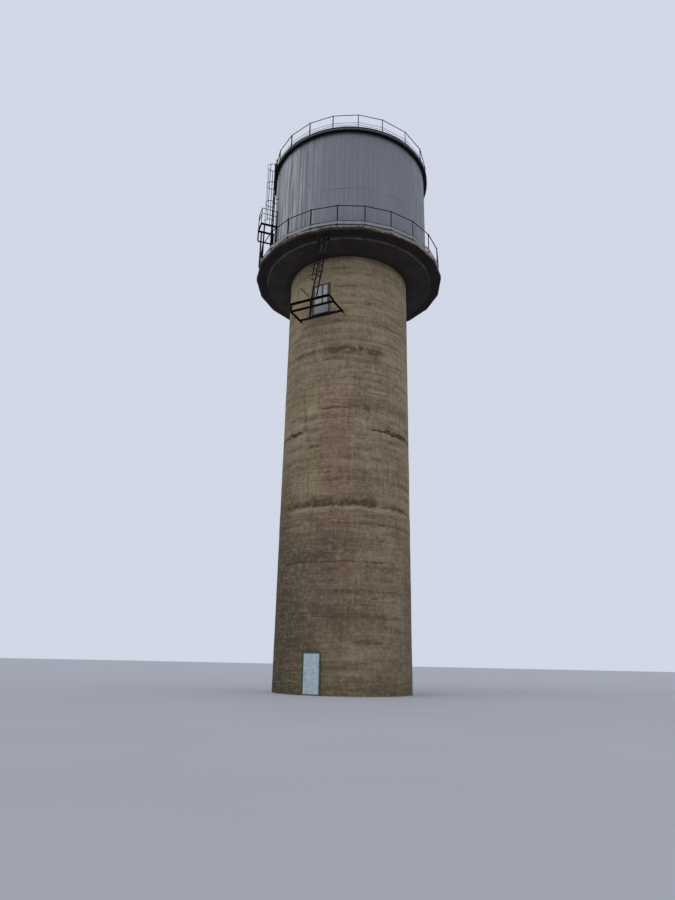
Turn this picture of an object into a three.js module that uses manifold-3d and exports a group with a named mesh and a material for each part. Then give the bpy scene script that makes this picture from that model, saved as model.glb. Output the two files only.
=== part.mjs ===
// Concrete water tower with a clad steel tank, gallery, balcony and ladders.
// Units are millimetres, +Z is up, the origin is at the middle of the base.
// Both doors face -Y. Azimuths are degrees from -Y, positive toward +X.
import * as THREE from 'three';
import { mergeVertices } from 'three/addons/utils/BufferGeometryUtils.js';
import Module from 'manifold-3d';

const wasm = await Module();
wasm.setup();

// Shaft
const SHAFT_RADIUS = 3570;
const SHAFT_WALL = 250;
const SHAFT_TOP = 23495;
const SHAFT_SEGMENTS = 8;
const SHAFT_FACET = 5;

// Floors inside the shaft
const GROUND_FLOOR_TOP = 100;
const UPPER_FLOOR_TOP = 19960;
const UPPER_FLOOR_THICK = 200;

// Gallery slab, a polygon of straight formwork boards with a step under it
const SLAB_SIDES = 20;
const SLAB_PHASE = 32.8;
const SLAB_RADIUS = 5730;
const SLAB_TOP = 24010;
const SLAB_EDGE_BOTTOM = 23690;
const STEP_RADIUS = 5080;
const STEP_BOTTOM = 23595;
const HATCH_LEFT = 440;
const HATCH_RIGHT = 1200;
const HATCH_INNER = 4800;
const HATCH_OUTER = 5400;

// Gallery railing
const GALLERY_POSTS = 23;
const GALLERY_PHASE = 19;
const GALLERY_RAIL_RADIUS = 5610;
const GALLERY_RAIL_TOP = 25405;
const GALLERY_LOW_RAIL = 24375;
const TOE_BOARD_TOP = 24345;
const GALLERY_ARCS = [5, 5, 5, 4, 4];

// Tank
const TANK_RADIUS = 4830;
const TANK_WALL = 30;
const TANK_SEGMENTS = 8;
const TANK_FACET = 5;
const ROOF_RADIUS = 5045;
const ROOF_EDGE_TOP = 31450;
const ROOF_CROWN = 31740;
const ROOF_THICK = 25;
const FASCIA_WIDTH = 20;
const EAVES_BOTTOM = 31220;
const SOFFIT_INNER = 4850;
const SOFFIT_THICK = 15;

// Roof railing
const ROOF_ARC_STARTS = [-39, 48.3, 147.8, 234.4];
const ROOF_BAYS = 5;
const ROOF_RAIL_RADIUS = 4960;
const ROOF_RAIL_TOP = 32470;
const ROOF_MID_RAILS = [31680, 31850];

// Ladders and their cages
const STRINGER = 60;
const RUNG_RADIUS = 13;
const RUNG_PITCH = 330;
const CAGE_RADIUS = 315;
const CAGE_FLAT = 8;
const HOOP_DEPTH = 50;
const HOOP_STEPS = 10;
const STRIP_WIDTH = 40;

// Tank ladder and its landing
const TANK_LADDER_AZIMUTH = -43.5;
const TANK_LADDER_RADIUS = 5080;
const TANK_LADDER_WIDTH = 400;
const TANK_LADDER_TOP = 31850;
const TANK_LADDER_ARMS = [25400, 28800, 30700];
const TANK_CAGE_HOOPS = [27100, 28500, 29900, 31300];
const LANDING_FLOOR = 26640;
const LANDING_TIE = 25860;
const LANDING_HALF_WIDTH = 390;
const LANDING_INNER = 4850;
const LANDING_POST_INNER = 4905;
const LANDING_POST_OUTER = 5650;
const LANDING_OUTER = 5880;
const LANDING_RAILS = [27380, 27750];
const LANDING_POST = 75;
const LANDING_TIE_SIZE = 65;
const LANDING_BEAM = 110;
const LANDING_BEAM_WIDTH = 80;
const LANDING_RAIL = 35;

// Balcony
const BALCONY_LEFT = -1180;
const BALCONY_RIGHT = 1450;
const BALCONY_OUTER = 4790;
const BALCONY_FLOOR = 19760;
const BALCONY_BEAM = 120;
const BALCONY_BEAM_WIDTH = 65;
const BALCONY_WALL_BEAM = 3750;
const BALCONY_SIDE_END = 3540;
const BALCONY_ANCHOR = 30;
const BALCONY_BRACE_WIDTH = 90;
const BALCONY_RAIL_TOP = 20210;
const BALCONY_RAIL = 110;
const BALCONY_POST_X = 90;
const BALCONY_BRACE_X = -570;
const BALCONY_RAIL_END = 1180;

// Balcony ladder
const BALCONY_LADDER_REACH = 4910;
const BALCONY_LADDER_WIDTH = 300;
const BALCONY_LADDER_FOOT = new THREE.Vector3(310, -BALCONY_LADDER_REACH, 20070);
const BALCONY_LADDER_HEAD = new THREE.Vector3(980, -BALCONY_LADDER_REACH, 24100);
const BALCONY_CAGE_HEIGHTS = [1150, 1800, 2450, 3100];

// Doors
const DOORWAY_HALF = 585;
const BALCONY_DOOR_SILL = 19970;
const BALCONY_DOOR_HEAD = 21860;
const BALCONY_DOOR_JAMB = 130;
const BALCONY_DOOR_SPLIT = 70;
const ENTRANCE_LEFT = -360;
const ENTRANCE_RIGHT = DOORWAY_HALF;
const ENTRANCE_HEAD = 1900;
const FRAME_WIDTH = 60;
const FRAME_DEPTH = 120;
const FRAME_FACE = 3560;
const DOOR_STOP = 20;
const LEAF_THICK = 45;
const LEAF_SHEET = 6;
const LEAF_RIB = 40;
const LEAF_GAP = 6;
const THRESHOLD = 50;
const HINGE_RADIUS = 12;
const HINGE_OUT = 14;
const HINGE_HEIGHTS = [420, 1480];
const KNUCKLE = 55;
const KNUCKLE_GAP = 0.5;
const HINGE_FLAP = 44;
const PULL_INSET = 70;
const PULL_FOOT = 900;
const PULL_TOP = 1080;
const PULL_REACH = 60;
const PULL_THICK = 20;
const UPPER_FRAME_INSET = 20;
const UPPER_LEAF_INSET = 50;

const GAP = 0.3;
const RAD = Math.PI / 180;

// The tank wall stops just under the sloping deck that it carries.
const DECK_RADIUS = ROOF_RADIUS - FASCIA_WIDTH;
const DECK_SLOPE = (ROOF_CROWN - ROOF_EDGE_TOP) / DECK_RADIUS;
const FACET_STRETCH = 1 / Math.cos((TANK_FACET / 2) * RAD);
const TANK_TOP = ROOF_CROWN - ROOF_THICK - DECK_SLOPE * TANK_RADIUS * FACET_STRETCH - GAP;

const CONCRETE = { color: 0x6f6557, roughness: 0.92, metalness: 0 };
const SLAB_CONCRETE = { color: 0x4a453f, roughness: 0.92, metalness: 0 };
const CLADDING = { color: 0x6b6f78, roughness: 0.45, metalness: 0.6 };
const DARK_METAL = { color: 0x23272f, roughness: 0.55, metalness: 0.6 };
const STEELWORK = { color: 0x191919, roughness: 0.7, metalness: 0.5 };
const PALE_PAINT = { color: 0xb9c2c6, roughness: 0.6, metalness: 0.1 };
const GREEN_PAINT = { color: 0x3d5a4a, roughness: 0.6, metalness: 0.1 };

const tower = new THREE.Group();

// Turns a three.js geometry into a solid that can be joined and cut.
function solid(geometry) {
  const bare = geometry.index ? geometry.toNonIndexed() : geometry.clone();
  bare.deleteAttribute('normal');
  bare.deleteAttribute('uv');
  const welded = mergeVertices(bare, 1e-3);
  return new wasm.Manifold(new wasm.Mesh({
    numProp: 3,
    vertProperties: new Float32Array(welded.attributes.position.array),
    triVerts: new Uint32Array(welded.index.array),
  }));
}

// Turns a solid back into a three.js geometry.
function geometryOf(body) {
  const mesh = body.getMesh();
  const geometry = new THREE.BufferGeometry();
  const count = mesh.vertProperties.length / mesh.numProp;
  const positions = new Float32Array(count * 3);
  for (let i = 0; i < count; i += 1) {
    for (let axis = 0; axis < 3; axis += 1) {
      positions[i * 3 + axis] = mesh.vertProperties[i * mesh.numProp + axis];
    }
  }
  geometry.setAttribute('position', new THREE.BufferAttribute(positions, 3));
  geometry.setIndex(Array.from(mesh.triVerts));
  return geometry;
}

function joined(bodies) {
  return bodies.reduce((sum, body) => sum.add(body));
}

// Adds one named piece to a group.
function addPiece(name, body, look, group = tower) {
  const mesh = new THREE.Mesh(geometryOf(body), new THREE.MeshStandardMaterial(look));
  mesh.name = name;
  group.add(mesh);
}

function groupAt(azimuth) {
  const group = new THREE.Group();
  group.rotation.z = azimuth * RAD;
  tower.add(group);
  return group;
}

// Point in plan at a radius and azimuth.
function plan(radius, azimuth) {
  return new THREE.Vector2(radius * Math.sin(azimuth * RAD), -radius * Math.cos(azimuth * RAD));
}

// Upright solid over a closed outline in plan.
function prism(points, bottom, top) {
  const geometry = new THREE.ExtrudeGeometry(new THREE.Shape(points), {
    depth: top - bottom,
    bevelEnabled: false,
  });
  geometry.translate(0, 0, bottom);
  return solid(geometry);
}

function regularOutline(radius, sides, phase) {
  return Array.from({ length: sides }, (_, i) => plan(radius, phase + (i * 360) / sides));
}

// Wedge of space between two azimuths, its sides held back by half a gap.
function wedge(from, to, far, bottom, top) {
  const middle = (from + to) / 2;
  const apex = plan(GAP / 2 / Math.sin(((to - from) / 2) * RAD), middle);
  const corners = [from, middle, to].map((azimuth) => plan(far, azimuth).add(apex));
  return prism([apex, ...corners], bottom, top);
}

// Part of a faceted ring between two azimuths.
function ringSector(inner, outer, from, to, bottom, top, facet) {
  const sides = 360 / facet;
  const outside = prism(regularOutline(outer, sides, facet / 2), bottom, top);
  const inside = prism(regularOutline(inner, sides, facet / 2), bottom - 1, top + 1);
  return outside.subtract(inside).intersect(wedge(from, to, 2 * outer, bottom, top));
}

function box(low, high) {
  const geometry = new THREE.BoxGeometry(high[0] - low[0], high[1] - low[1], high[2] - low[2]);
  geometry.translate((low[0] + high[0]) / 2, (low[1] + high[1]) / 2, (low[2] + high[2]) / 2);
  return solid(geometry);
}

// Straight bar of rectangular section between two points.
// Its width lies level and its depth lies in the upright plane of the bar.
function bar(from, to, width, depth, extend = 0) {
  const along = new THREE.Vector3().subVectors(to, from);
  const length = along.length() + 2 * extend;
  along.normalize();
  const upright = Math.abs(along.z) > 0.9 ? new THREE.Vector3(0, 1, 0) : new THREE.Vector3(0, 0, 1);
  const side = new THREE.Vector3().crossVectors(upright, along).normalize();
  const rise = new THREE.Vector3().crossVectors(along, side);
  const geometry = new THREE.BoxGeometry(length, width, depth);
  geometry.applyMatrix4(new THREE.Matrix4().makeBasis(along, side, rise));
  const middle = new THREE.Vector3().addVectors(from, to).multiplyScalar(0.5);
  geometry.translate(middle.x, middle.y, middle.z);
  return solid(geometry);
}

function point(radius, azimuth, height) {
  const flat = plan(radius, azimuth);
  return new THREE.Vector3(flat.x, flat.y, height);
}

// Round rod between two points, with few sides.
function rod(from, to, radius, sides = 6) {
  const along = new THREE.Vector3().subVectors(to, from);
  const geometry = new THREE.CylinderGeometry(radius, radius, along.length(), sides);
  geometry.applyQuaternion(new THREE.Quaternion().setFromUnitVectors(
    new THREE.Vector3(0, 1, 0),
    along.clone().normalize(),
  ));
  const middle = new THREE.Vector3().addVectors(from, to).multiplyScalar(0.5);
  geometry.translate(middle.x, middle.y, middle.z);
  return solid(geometry);
}

function addShaft() {
  const inner = SHAFT_RADIUS - SHAFT_WALL;
  const span = 360 / SHAFT_SEGMENTS;
  for (let i = 1; i < SHAFT_SEGMENTS; i += 1) {
    const from = (i - 0.5) * span;
    const body = ringSector(inner, SHAFT_RADIUS, from, from + span, 0, SHAFT_TOP, SHAFT_FACET);
    addPiece(`shaft_wall_${i}`, body, CONCRETE);
  }
  const front = ringSector(inner, SHAFT_RADIUS, -span / 2, span / 2, 0, SHAFT_TOP, SHAFT_FACET);
  const far = 2 * SHAFT_RADIUS;
  const cut = (left, right, bottom, top) => front.intersect(box([left, -far, bottom], [right, far, top]));
  const half = DOORWAY_HALF;
  addPiece('shaft_front_left_wall', cut(-far, -half, 0, SHAFT_TOP), CONCRETE);
  addPiece('shaft_front_right_wall', cut(half, far, 0, SHAFT_TOP), CONCRETE);
  const between = cut(-half + GAP, half - GAP, ENTRANCE_HEAD, BALCONY_DOOR_SILL - GAP);
  addPiece('shaft_wall_between_doors', between, CONCRETE);
  const over = cut(-half + GAP, half - GAP, BALCONY_DOOR_HEAD, SHAFT_TOP);
  addPiece('shaft_wall_over_balcony_door', over, CONCRETE);
  const beside = cut(-half + GAP, ENTRANCE_LEFT, 0, ENTRANCE_HEAD - GAP);
  addPiece('shaft_wall_beside_entrance', beside, CONCRETE);
}

function addFloors() {
  const radius = SHAFT_RADIUS - SHAFT_WALL - GAP;
  const sides = 360 / SHAFT_FACET;
  const outline = regularOutline(radius, sides, SHAFT_FACET / 2);
  const level = (bottom, top) => prism(outline, bottom, top);
  addPiece('ground_floor', level(0, GROUND_FLOOR_TOP), CONCRETE);
  addPiece('upper_floor', level(UPPER_FLOOR_TOP - UPPER_FLOOR_THICK, UPPER_FLOOR_TOP), CONCRETE);
}

// Upright sided solid whose radius changes with height.
function sidedFrustum(lowRadius, highRadius, low, high, sides, phase) {
  const geometry = new THREE.CylinderGeometry(highRadius, lowRadius, high - low, sides);
  geometry.rotateX(Math.PI / 2);
  geometry.rotateZ(phase * RAD - Math.PI);
  geometry.translate(0, 0, (low + high) / 2);
  return solid(geometry);
}

function addGallerySlab() {
  const outline = regularOutline(SLAB_RADIUS, SLAB_SIDES, SLAB_PHASE);
  const edge = prism(outline, SLAB_EDGE_BOTTOM, SLAB_TOP);
  const step = prism(regularOutline(STEP_RADIUS, SLAB_SIDES, SLAB_PHASE), STEP_BOTTOM, SLAB_EDGE_BOTTOM + 1);
  const haunch = sidedFrustum(
    SHAFT_RADIUS, STEP_RADIUS, SHAFT_TOP + GAP, STEP_BOTTOM + 1, SLAB_SIDES, SLAB_PHASE,
  );
  const slab = joined([edge, step, haunch]);
  const far = 2 * SLAB_RADIUS;
  const half = GAP / 2;
  const cut = (low, high) => slab.intersect(box([low[0], low[1], 0], [high[0], high[1], 2 * SLAB_TOP]));
  addPiece('gallery_slab_left', cut([-far, -far], [HATCH_LEFT - half, far]), SLAB_CONCRETE);
  addPiece('gallery_slab_right', cut([HATCH_RIGHT + half, -far], [far, far]), SLAB_CONCRETE);
  const middle = cut([HATCH_LEFT + half, -HATCH_INNER], [HATCH_RIGHT - half, far]);
  addPiece('gallery_slab_middle', middle, SLAB_CONCRETE);
  const rim = cut([HATCH_LEFT + half, -far], [HATCH_RIGHT - half, -HATCH_OUTER]);
  addPiece('gallery_slab_hatch_edge', rim, SLAB_CONCRETE);
}

// Square post turned to face outward at an azimuth.
function radialPost(radius, azimuth, foot, top, size) {
  const geometry = new THREE.BoxGeometry(size, size, top - foot);
  geometry.translate(0, -radius, (foot + top) / 2);
  geometry.rotateZ(azimuth * RAD);
  return solid(geometry);
}

// Posts and straight rails over some bays of a round railing.
// The arc reaches from its first post up to the side of the next arc's first post.
function railingArc(from, to, bays, radius, foot, sizes) {
  const pieces = [];
  const azimuth = (i) => from + (i * (to - from)) / bays;
  const rail = (i, height, width, depth, railRadius) => bar(
    point(railRadius, azimuth(i), height),
    point(railRadius, azimuth(i + 1), height),
    width,
    depth,
    sizes.post,
  );
  for (let i = 0; i < bays; i += 1) {
    pieces.push(radialPost(radius, azimuth(i), foot, sizes.top, sizes.post));
    sizes.rails.forEach(({ height, size }) => pieces.push(rail(i, height, size, size, radius)));
    if (sizes.board) {
      const { height, width, depth, out } = sizes.board;
      pieces.push(rail(i, height, width, depth, radius + out));
    }
  }
  const lead = ((sizes.post / 2 + 2 * GAP) / (radius - sizes.post)) / RAD;
  const bounds = wedge(azimuth(0) - lead, azimuth(bays) - lead, 2 * radius, 0, 2 * sizes.top);
  return joined(pieces).intersect(bounds);
}

// Each arc is given by the azimuth of its first post and its count of bays.
function addRailing(name, arcs, radius, foot, sizes) {
  arcs.forEach(({ from, bays }, i) => {
    const next = i + 1 < arcs.length ? arcs[i + 1].from : arcs[0].from + 360;
    addPiece(`${name}_${i + 1}`, railingArc(from, next, bays, radius, foot, sizes), STEELWORK);
  });
}

function addGalleryRailing() {
  const post = 55;
  const boardFoot = SLAB_TOP + 25;
  let first = 0;
  const arcs = GALLERY_ARCS.map((bays) => {
    const from = GALLERY_PHASE + (first * 360) / GALLERY_POSTS;
    first += bays;
    return { from, bays };
  });
  addRailing('gallery_railing', arcs, GALLERY_RAIL_RADIUS, SLAB_TOP + GAP, {
    post,
    top: GALLERY_RAIL_TOP,
    rails: [
      { height: GALLERY_RAIL_TOP - 25, size: 50 },
      { height: GALLERY_LOW_RAIL, size: 45 },
    ],
    board: {
      height: (boardFoot + TOE_BOARD_TOP) / 2,
      width: 20,
      depth: TOE_BOARD_TOP - boardFoot,
      out: post / 2,
    },
  });
}

function addRoofRailing() {
  const post = 45;
  const foot = ROOF_CROWN - DECK_SLOPE * (ROOF_RAIL_RADIUS - post / 2) + GAP;
  const arcs = ROOF_ARC_STARTS.map((from) => ({ from, bays: ROOF_BAYS }));
  addRailing('roof_railing', arcs, ROOF_RAIL_RADIUS, foot, {
    post,
    top: ROOF_RAIL_TOP,
    rails: [
      { height: ROOF_RAIL_TOP - 20, size: 40 },
      ...ROOF_MID_RAILS.map((height) => ({ height, size: 25 })),
    ],
  });
}

function addTank() {
  const span = 360 / TANK_SEGMENTS;
  for (let i = 0; i < TANK_SEGMENTS; i += 1) {
    const body = ringSector(
      TANK_RADIUS - TANK_WALL,
      TANK_RADIUS,
      (i - 0.5) * span,
      (i + 0.5) * span,
      SLAB_TOP + GAP,
      TANK_TOP,
      TANK_FACET,
    );
    addPiece(`tank_wall_${i + 1}`, body, CLADDING);
  }
}

// Piece of the roof turned about the tower's axis.
function addTurned(name, profile) {
  const points = profile.map(([radius, height]) => new THREE.Vector2(radius, height));
  const turned = new THREE.LatheGeometry(points, 360 / TANK_FACET);
  turned.rotateX(Math.PI / 2);
  addPiece(name, solid(turned), DARK_METAL);
}

function addRoof() {
  const edge = DECK_RADIUS - GAP;
  addTurned('roof_deck', [
    [0, ROOF_CROWN - ROOF_THICK],
    [edge, ROOF_EDGE_TOP - ROOF_THICK],
    [edge, ROOF_EDGE_TOP],
    [0, ROOF_CROWN],
  ]);
  addTurned('roof_fascia', [
    [DECK_RADIUS, EAVES_BOTTOM],
    [ROOF_RADIUS, EAVES_BOTTOM],
    [ROOF_RADIUS, ROOF_EDGE_TOP],
    [DECK_RADIUS, ROOF_EDGE_TOP],
    [DECK_RADIUS, EAVES_BOTTOM],
  ]);
  addTurned('eaves_soffit', [
    [SOFFIT_INNER, EAVES_BOTTOM],
    [edge, EAVES_BOTTOM],
    [edge, EAVES_BOTTOM + SOFFIT_THICK],
    [SOFFIT_INNER, EAVES_BOTTOM + SOFFIT_THICK],
    [SOFFIT_INNER, EAVES_BOTTOM],
  ]);
}

// Straight ladder standing at y = -reach in its own frame.
// Each pair of arms runs back from the stringers to y = -arm.reach.
function ladder(foot, head, reach, width, arms) {
  const half = width / 2;
  const at = (x, out, height) => new THREE.Vector3(x, -out, height);
  const pieces = [];
  [-half, half].forEach((x) => {
    pieces.push(bar(at(x, reach, foot), at(x, reach, head), STRINGER, STRINGER));
    arms.forEach((arm) => {
      pieces.push(bar(at(x, arm.reach, arm.height), at(x, reach, arm.height), STRINGER, STRINGER));
    });
  });
  for (let height = foot + RUNG_PITCH; height < head; height += RUNG_PITCH) {
    pieces.push(rod(at(-half, reach, height), at(half, reach, height), RUNG_RADIUS));
  }
  return joined(pieces);
}

// Safety cage of bent flats round a ladder at y = -reach, its hoops ending at the stringers.
function cage(heights, reach, width) {
  const inner = CAGE_RADIUS - CAGE_FLAT;
  const end = width / 2 + STRINGER / 2 + GAP;
  const sweep = 180 - Math.asin(end / inner) / RAD;
  const step = (2 * sweep) / HOOP_STEPS;
  const centre = new THREE.Vector2(0, reach + Math.sqrt(inner ** 2 - end ** 2));
  const steps = Array.from({ length: HOOP_STEPS + 1 }, (_, i) => i * step - sweep);
  const outline = [
    ...steps.map((azimuth) => plan(CAGE_RADIUS, azimuth).sub(centre)),
    ...steps.reverse().map((azimuth) => plan(inner, azimuth).sub(centre)),
  ];
  const half = HOOP_DEPTH / 2;
  const pieces = heights.map((height) => prism(outline, height - half, height + half));
  const foot = heights[0] - half;
  const head = heights[heights.length - 1] + half;
  const strip = new THREE.BoxGeometry(STRIP_WIDTH, CAGE_FLAT, head - foot);
  for (let i = 1; i < HOOP_STEPS; i += 2) {
    const azimuth = i * step - sweep;
    const middle = plan(inner - CAGE_FLAT / 4, azimuth).sub(centre);
    const placed = strip.clone().rotateZ(azimuth * RAD);
    pieces.push(solid(placed.translate(middle.x, middle.y, (foot + head) / 2)));
  }
  return joined(pieces);
}

function addTankLadder() {
  const group = groupAt(TANK_LADDER_AZIMUTH);
  const wallFace = TANK_RADIUS * Math.cos((TANK_FACET / 2) * RAD) + GAP;
  const arms = TANK_LADDER_ARMS.map((height) => ({ height, reach: wallFace }));
  const body = ladder(SLAB_TOP + GAP, TANK_LADDER_TOP, TANK_LADDER_RADIUS, TANK_LADDER_WIDTH, arms);
  addPiece('tank_ladder', body, STEELWORK, group);
  const hoops = cage(TANK_CAGE_HOOPS, TANK_LADDER_RADIUS, TANK_LADDER_WIDTH);
  addPiece('tank_ladder_cage', hoops, STEELWORK, group);
}

// The outer legs stand on the rim of the gallery slab, outside its railing.
function addLandingFrame(group, at) {
  const beamHeight = LANDING_FLOOR - LANDING_BEAM / 2;
  const outer = LANDING_OUTER - LANDING_POST / 2;
  const side = LANDING_HALF_WIDTH;
  const post = (from, to) => bar(from, to, LANDING_POST, LANDING_POST);
  const tie = (from, to) => bar(from, to, LANDING_TIE_SIZE, LANDING_TIE_SIZE, LANDING_TIE_SIZE / 4);
  const beam = (from, to) => bar(from, to, LANDING_BEAM_WIDTH, LANDING_BEAM);
  const pieces = [
    beam(at(-side, outer, beamHeight), at(side, outer, beamHeight)),
    tie(at(-side, LANDING_POST_INNER, LANDING_TIE), at(-side, outer, LANDING_TIE)),
    tie(at(-side, outer, LANDING_TIE), at(-side, outer, beamHeight)),
  ];
  [-side, side].forEach((x) => {
    pieces.push(beam(at(x, LANDING_INNER, beamHeight), at(x, LANDING_OUTER, beamHeight)));
    [LANDING_POST_INNER, LANDING_POST_OUTER].forEach((reach) => {
      pieces.push(post(at(x, reach, SLAB_TOP + GAP), at(x, reach, beamHeight)));
    });
  });
  addPiece('landing_frame', joined(pieces), STEELWORK, group);
}

function addLandingRailing(group, at) {
  const outer = LANDING_OUTER - LANDING_POST / 2;
  const side = LANDING_HALF_WIDTH;
  const rail = (from, to, extend = 0) => bar(from, to, LANDING_RAIL, LANDING_RAIL, extend);
  const foot = LANDING_FLOOR + GAP;
  const top = LANDING_RAILS[1];
  const pieces = [
    rail(at(-side, outer, foot), at(-side, outer, top)),
    rail(at(side, outer, foot), at(side, outer, top)),
    rail(at(side, LANDING_POST_INNER, foot), at(side, LANDING_POST_INNER, top)),
  ];
  LANDING_RAILS.forEach((railTop) => {
    const height = railTop - LANDING_RAIL / 2;
    pieces.push(rail(at(-side, outer, height), at(side, outer, height), LANDING_RAIL / 2));
    pieces.push(rail(at(side, outer, height), at(side, LANDING_POST_INNER, height)));
  });
  addPiece('landing_railing', joined(pieces), STEELWORK, group);
}

function addLanding() {
  const group = groupAt(TANK_LADDER_AZIMUTH);
  const at = (x, reach, height) => new THREE.Vector3(x, -reach, height);
  addLandingFrame(group, at);
  addLandingRailing(group, at);
}

// Point of the balcony at a distance out from the tower's axis.
function balconyPoint(x, reach, height) {
  return new THREE.Vector3(x, -reach, height);
}

// The beams differ a little in depth, as they are notched where they meet.
function addBalconyFrame() {
  const level = BALCONY_FLOOR - BALCONY_BEAM / 2;
  const width = BALCONY_BEAM_WIDTH;
  const beam = (x1, reach1, x2, reach2, notch, extend = 0) => bar(
    balconyPoint(x1, reach1, level),
    balconyPoint(x2, reach2, level),
    width - notch / 2,
    BALCONY_BEAM - notch,
    extend,
  );
  const inside = SHAFT_RADIUS - SHAFT_WALL;
  const anchor = (x) => bar(
    balconyPoint(x, inside, level),
    balconyPoint(x, BALCONY_SIDE_END + width, level),
    BALCONY_ANCHOR,
    BALCONY_ANCHOR,
  );
  const pieces = [
    anchor(BALCONY_LEFT),
    anchor(BALCONY_RIGHT),
    beam(BALCONY_LEFT, BALCONY_SIDE_END, BALCONY_LEFT, BALCONY_OUTER, 6),
    beam(BALCONY_RIGHT, BALCONY_SIDE_END, BALCONY_RIGHT, BALCONY_OUTER, 6),
    beam(BALCONY_LEFT, BALCONY_OUTER, BALCONY_RIGHT, BALCONY_OUTER, 0, width / 2 + 3),
    beam(BALCONY_LEFT, BALCONY_WALL_BEAM, BALCONY_RIGHT, BALCONY_WALL_BEAM, 8),
    bar(
      balconyPoint(BALCONY_BRACE_X, BALCONY_WALL_BEAM, level),
      balconyPoint(BALCONY_POST_X, BALCONY_OUTER, level),
      BALCONY_BRACE_WIDTH,
      BALCONY_BEAM - 20,
    ),
  ];
  const outline = regularOutline(SHAFT_RADIUS + GAP, 360 / SHAFT_FACET, SHAFT_FACET / 2);
  addPiece('balcony_frame', joined(pieces).subtract(prism(outline, 0, SLAB_TOP)), STEELWORK);
}

function addBalconyGuard() {
  const height = BALCONY_RAIL_TOP - BALCONY_RAIL / 2;
  const foot = BALCONY_FLOOR + GAP;
  const rail = (x1, z1, x2, z2, extend) => bar(
    balconyPoint(x1, BALCONY_OUTER, z1),
    balconyPoint(x2, BALCONY_OUTER, z2),
    BALCONY_RAIL,
    BALCONY_RAIL,
    extend,
  );
  const half = BALCONY_RAIL / 2;
  const under = box([0, -2 * BALCONY_OUTER, 0], [2 * BALCONY_RIGHT, 0, foot]);
  const pieces = [
    rail(BALCONY_LEFT, height, BALCONY_RAIL_END, height, half),
    rail(BALCONY_LEFT, foot, BALCONY_LEFT, height),
    rail(BALCONY_POST_X, foot, BALCONY_POST_X, height),
    rail(BALCONY_RAIL_END, height, BALCONY_RIGHT, BALCONY_FLOOR, half).subtract(under),
  ];
  addPiece('balcony_guard', joined(pieces), STEELWORK);
}

function addBalconyLadder() {
  const foot = BALCONY_LADDER_FOOT;
  const along = new THREE.Vector3().subVectors(BALCONY_LADDER_HEAD, foot);
  const length = along.length();
  along.normalize();
  const group = new THREE.Group();
  group.position.copy(foot);
  group.quaternion.setFromUnitVectors(new THREE.Vector3(0, 0, 1), along);
  tower.add(group);
  const arm = (height, face) => ({
    height: (height - foot.z) / along.z,
    reach: face + GAP - BALCONY_LADDER_REACH,
  });
  const arms = [
    arm(BALCONY_RAIL_TOP - STRINGER / 2, BALCONY_OUTER + BALCONY_RAIL / 2),
    arm((SLAB_EDGE_BOTTOM + SLAB_TOP) / 2, HATCH_INNER),
  ];
  addPiece('balcony_ladder', ladder(0, length, 0, BALCONY_LADDER_WIDTH, arms), STEELWORK, group);
  const hoops = cage(BALCONY_CAGE_HEIGHTS, 0, BALCONY_LADDER_WIDTH);
  addPiece('balcony_ladder_cage', hoops, STEELWORK, group);
}

// Door frame whose face stands at y = -face, with or without a bar at its foot.
function frameAround(left, right, bottom, top, face, depth, hasSill, rightJamb = FRAME_WIDTH) {
  const outer = box([left, -face, bottom], [right, -face + depth, top]);
  const inner = box(
    [left + FRAME_WIDTH, -face - 1, hasSill ? bottom + FRAME_WIDTH : bottom - 1],
    [right - rightJamb, -face + depth + 1, top - FRAME_WIDTH],
  );
  return outer.subtract(inner);
}

// Hinge knuckle on the entrance's hinge line with its flap between two x values.
function knuckle(x, from, to, flapFrom, flapTo) {
  const y = -FRAME_FACE - HINGE_OUT;
  const pin = rod(new THREE.Vector3(x, y, from), new THREE.Vector3(x, y, to), HINGE_RADIUS, 12);
  return pin.add(box([flapFrom, y, from], [flapTo, -FRAME_FACE + 1, to]));
}

function addEntranceFrame(left, right, top, hingeX) {
  const backOfStop = FRAME_FACE - LEAF_THICK - LEAF_GAP;
  const lap = 1;
  const pieces = [
    frameAround(left, right, 0, top, FRAME_FACE, FRAME_DEPTH, false),
    box([left, -FRAME_FACE, 0], [right, -FRAME_FACE + FRAME_DEPTH, THRESHOLD]),
    frameAround(
      left + FRAME_WIDTH - lap,
      right - FRAME_WIDTH + lap,
      THRESHOLD - lap,
      top - FRAME_WIDTH + lap,
      backOfStop,
      DOOR_STOP,
      false,
    ),
  ];
  HINGE_HEIGHTS.forEach((height) => {
    pieces.push(knuckle(hingeX, height - KNUCKLE, height, hingeX + 1, hingeX + HINGE_FLAP));
  });
  addPiece('entrance_frame', joined(pieces), GREEN_PAINT);
}

// Upright pull handle on two feet.
function pullHandle(left) {
  const right = left + PULL_THICK;
  const face = -FRAME_FACE;
  const foot = (low) => box([left, face - PULL_REACH, low], [right, face + 1, low + PULL_THICK]);
  const grip = box(
    [left, face - PULL_REACH, PULL_FOOT],
    [right, face - PULL_REACH + PULL_THICK, PULL_TOP],
  );
  return joined([grip, foot(PULL_FOOT), foot(PULL_TOP - PULL_THICK)]);
}

// Steel leaf: a sheet with ribs round its edge and across its middle, on the inside.
function entranceLeaf(left, right, bottom, top) {
  const face = -FRAME_FACE;
  const back = face + LEAF_THICK;
  const pocket = (low, high) => box(
    [left + LEAF_RIB, face + LEAF_SHEET, low + LEAF_RIB],
    [right - LEAF_RIB, back + 1, high - LEAF_RIB],
  );
  const middle = (bottom + top) / 2;
  return box([left, face, bottom], [right, back, top])
    .subtract(pocket(bottom, middle + LEAF_RIB / 2))
    .subtract(pocket(middle - LEAF_RIB / 2, top));
}

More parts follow.
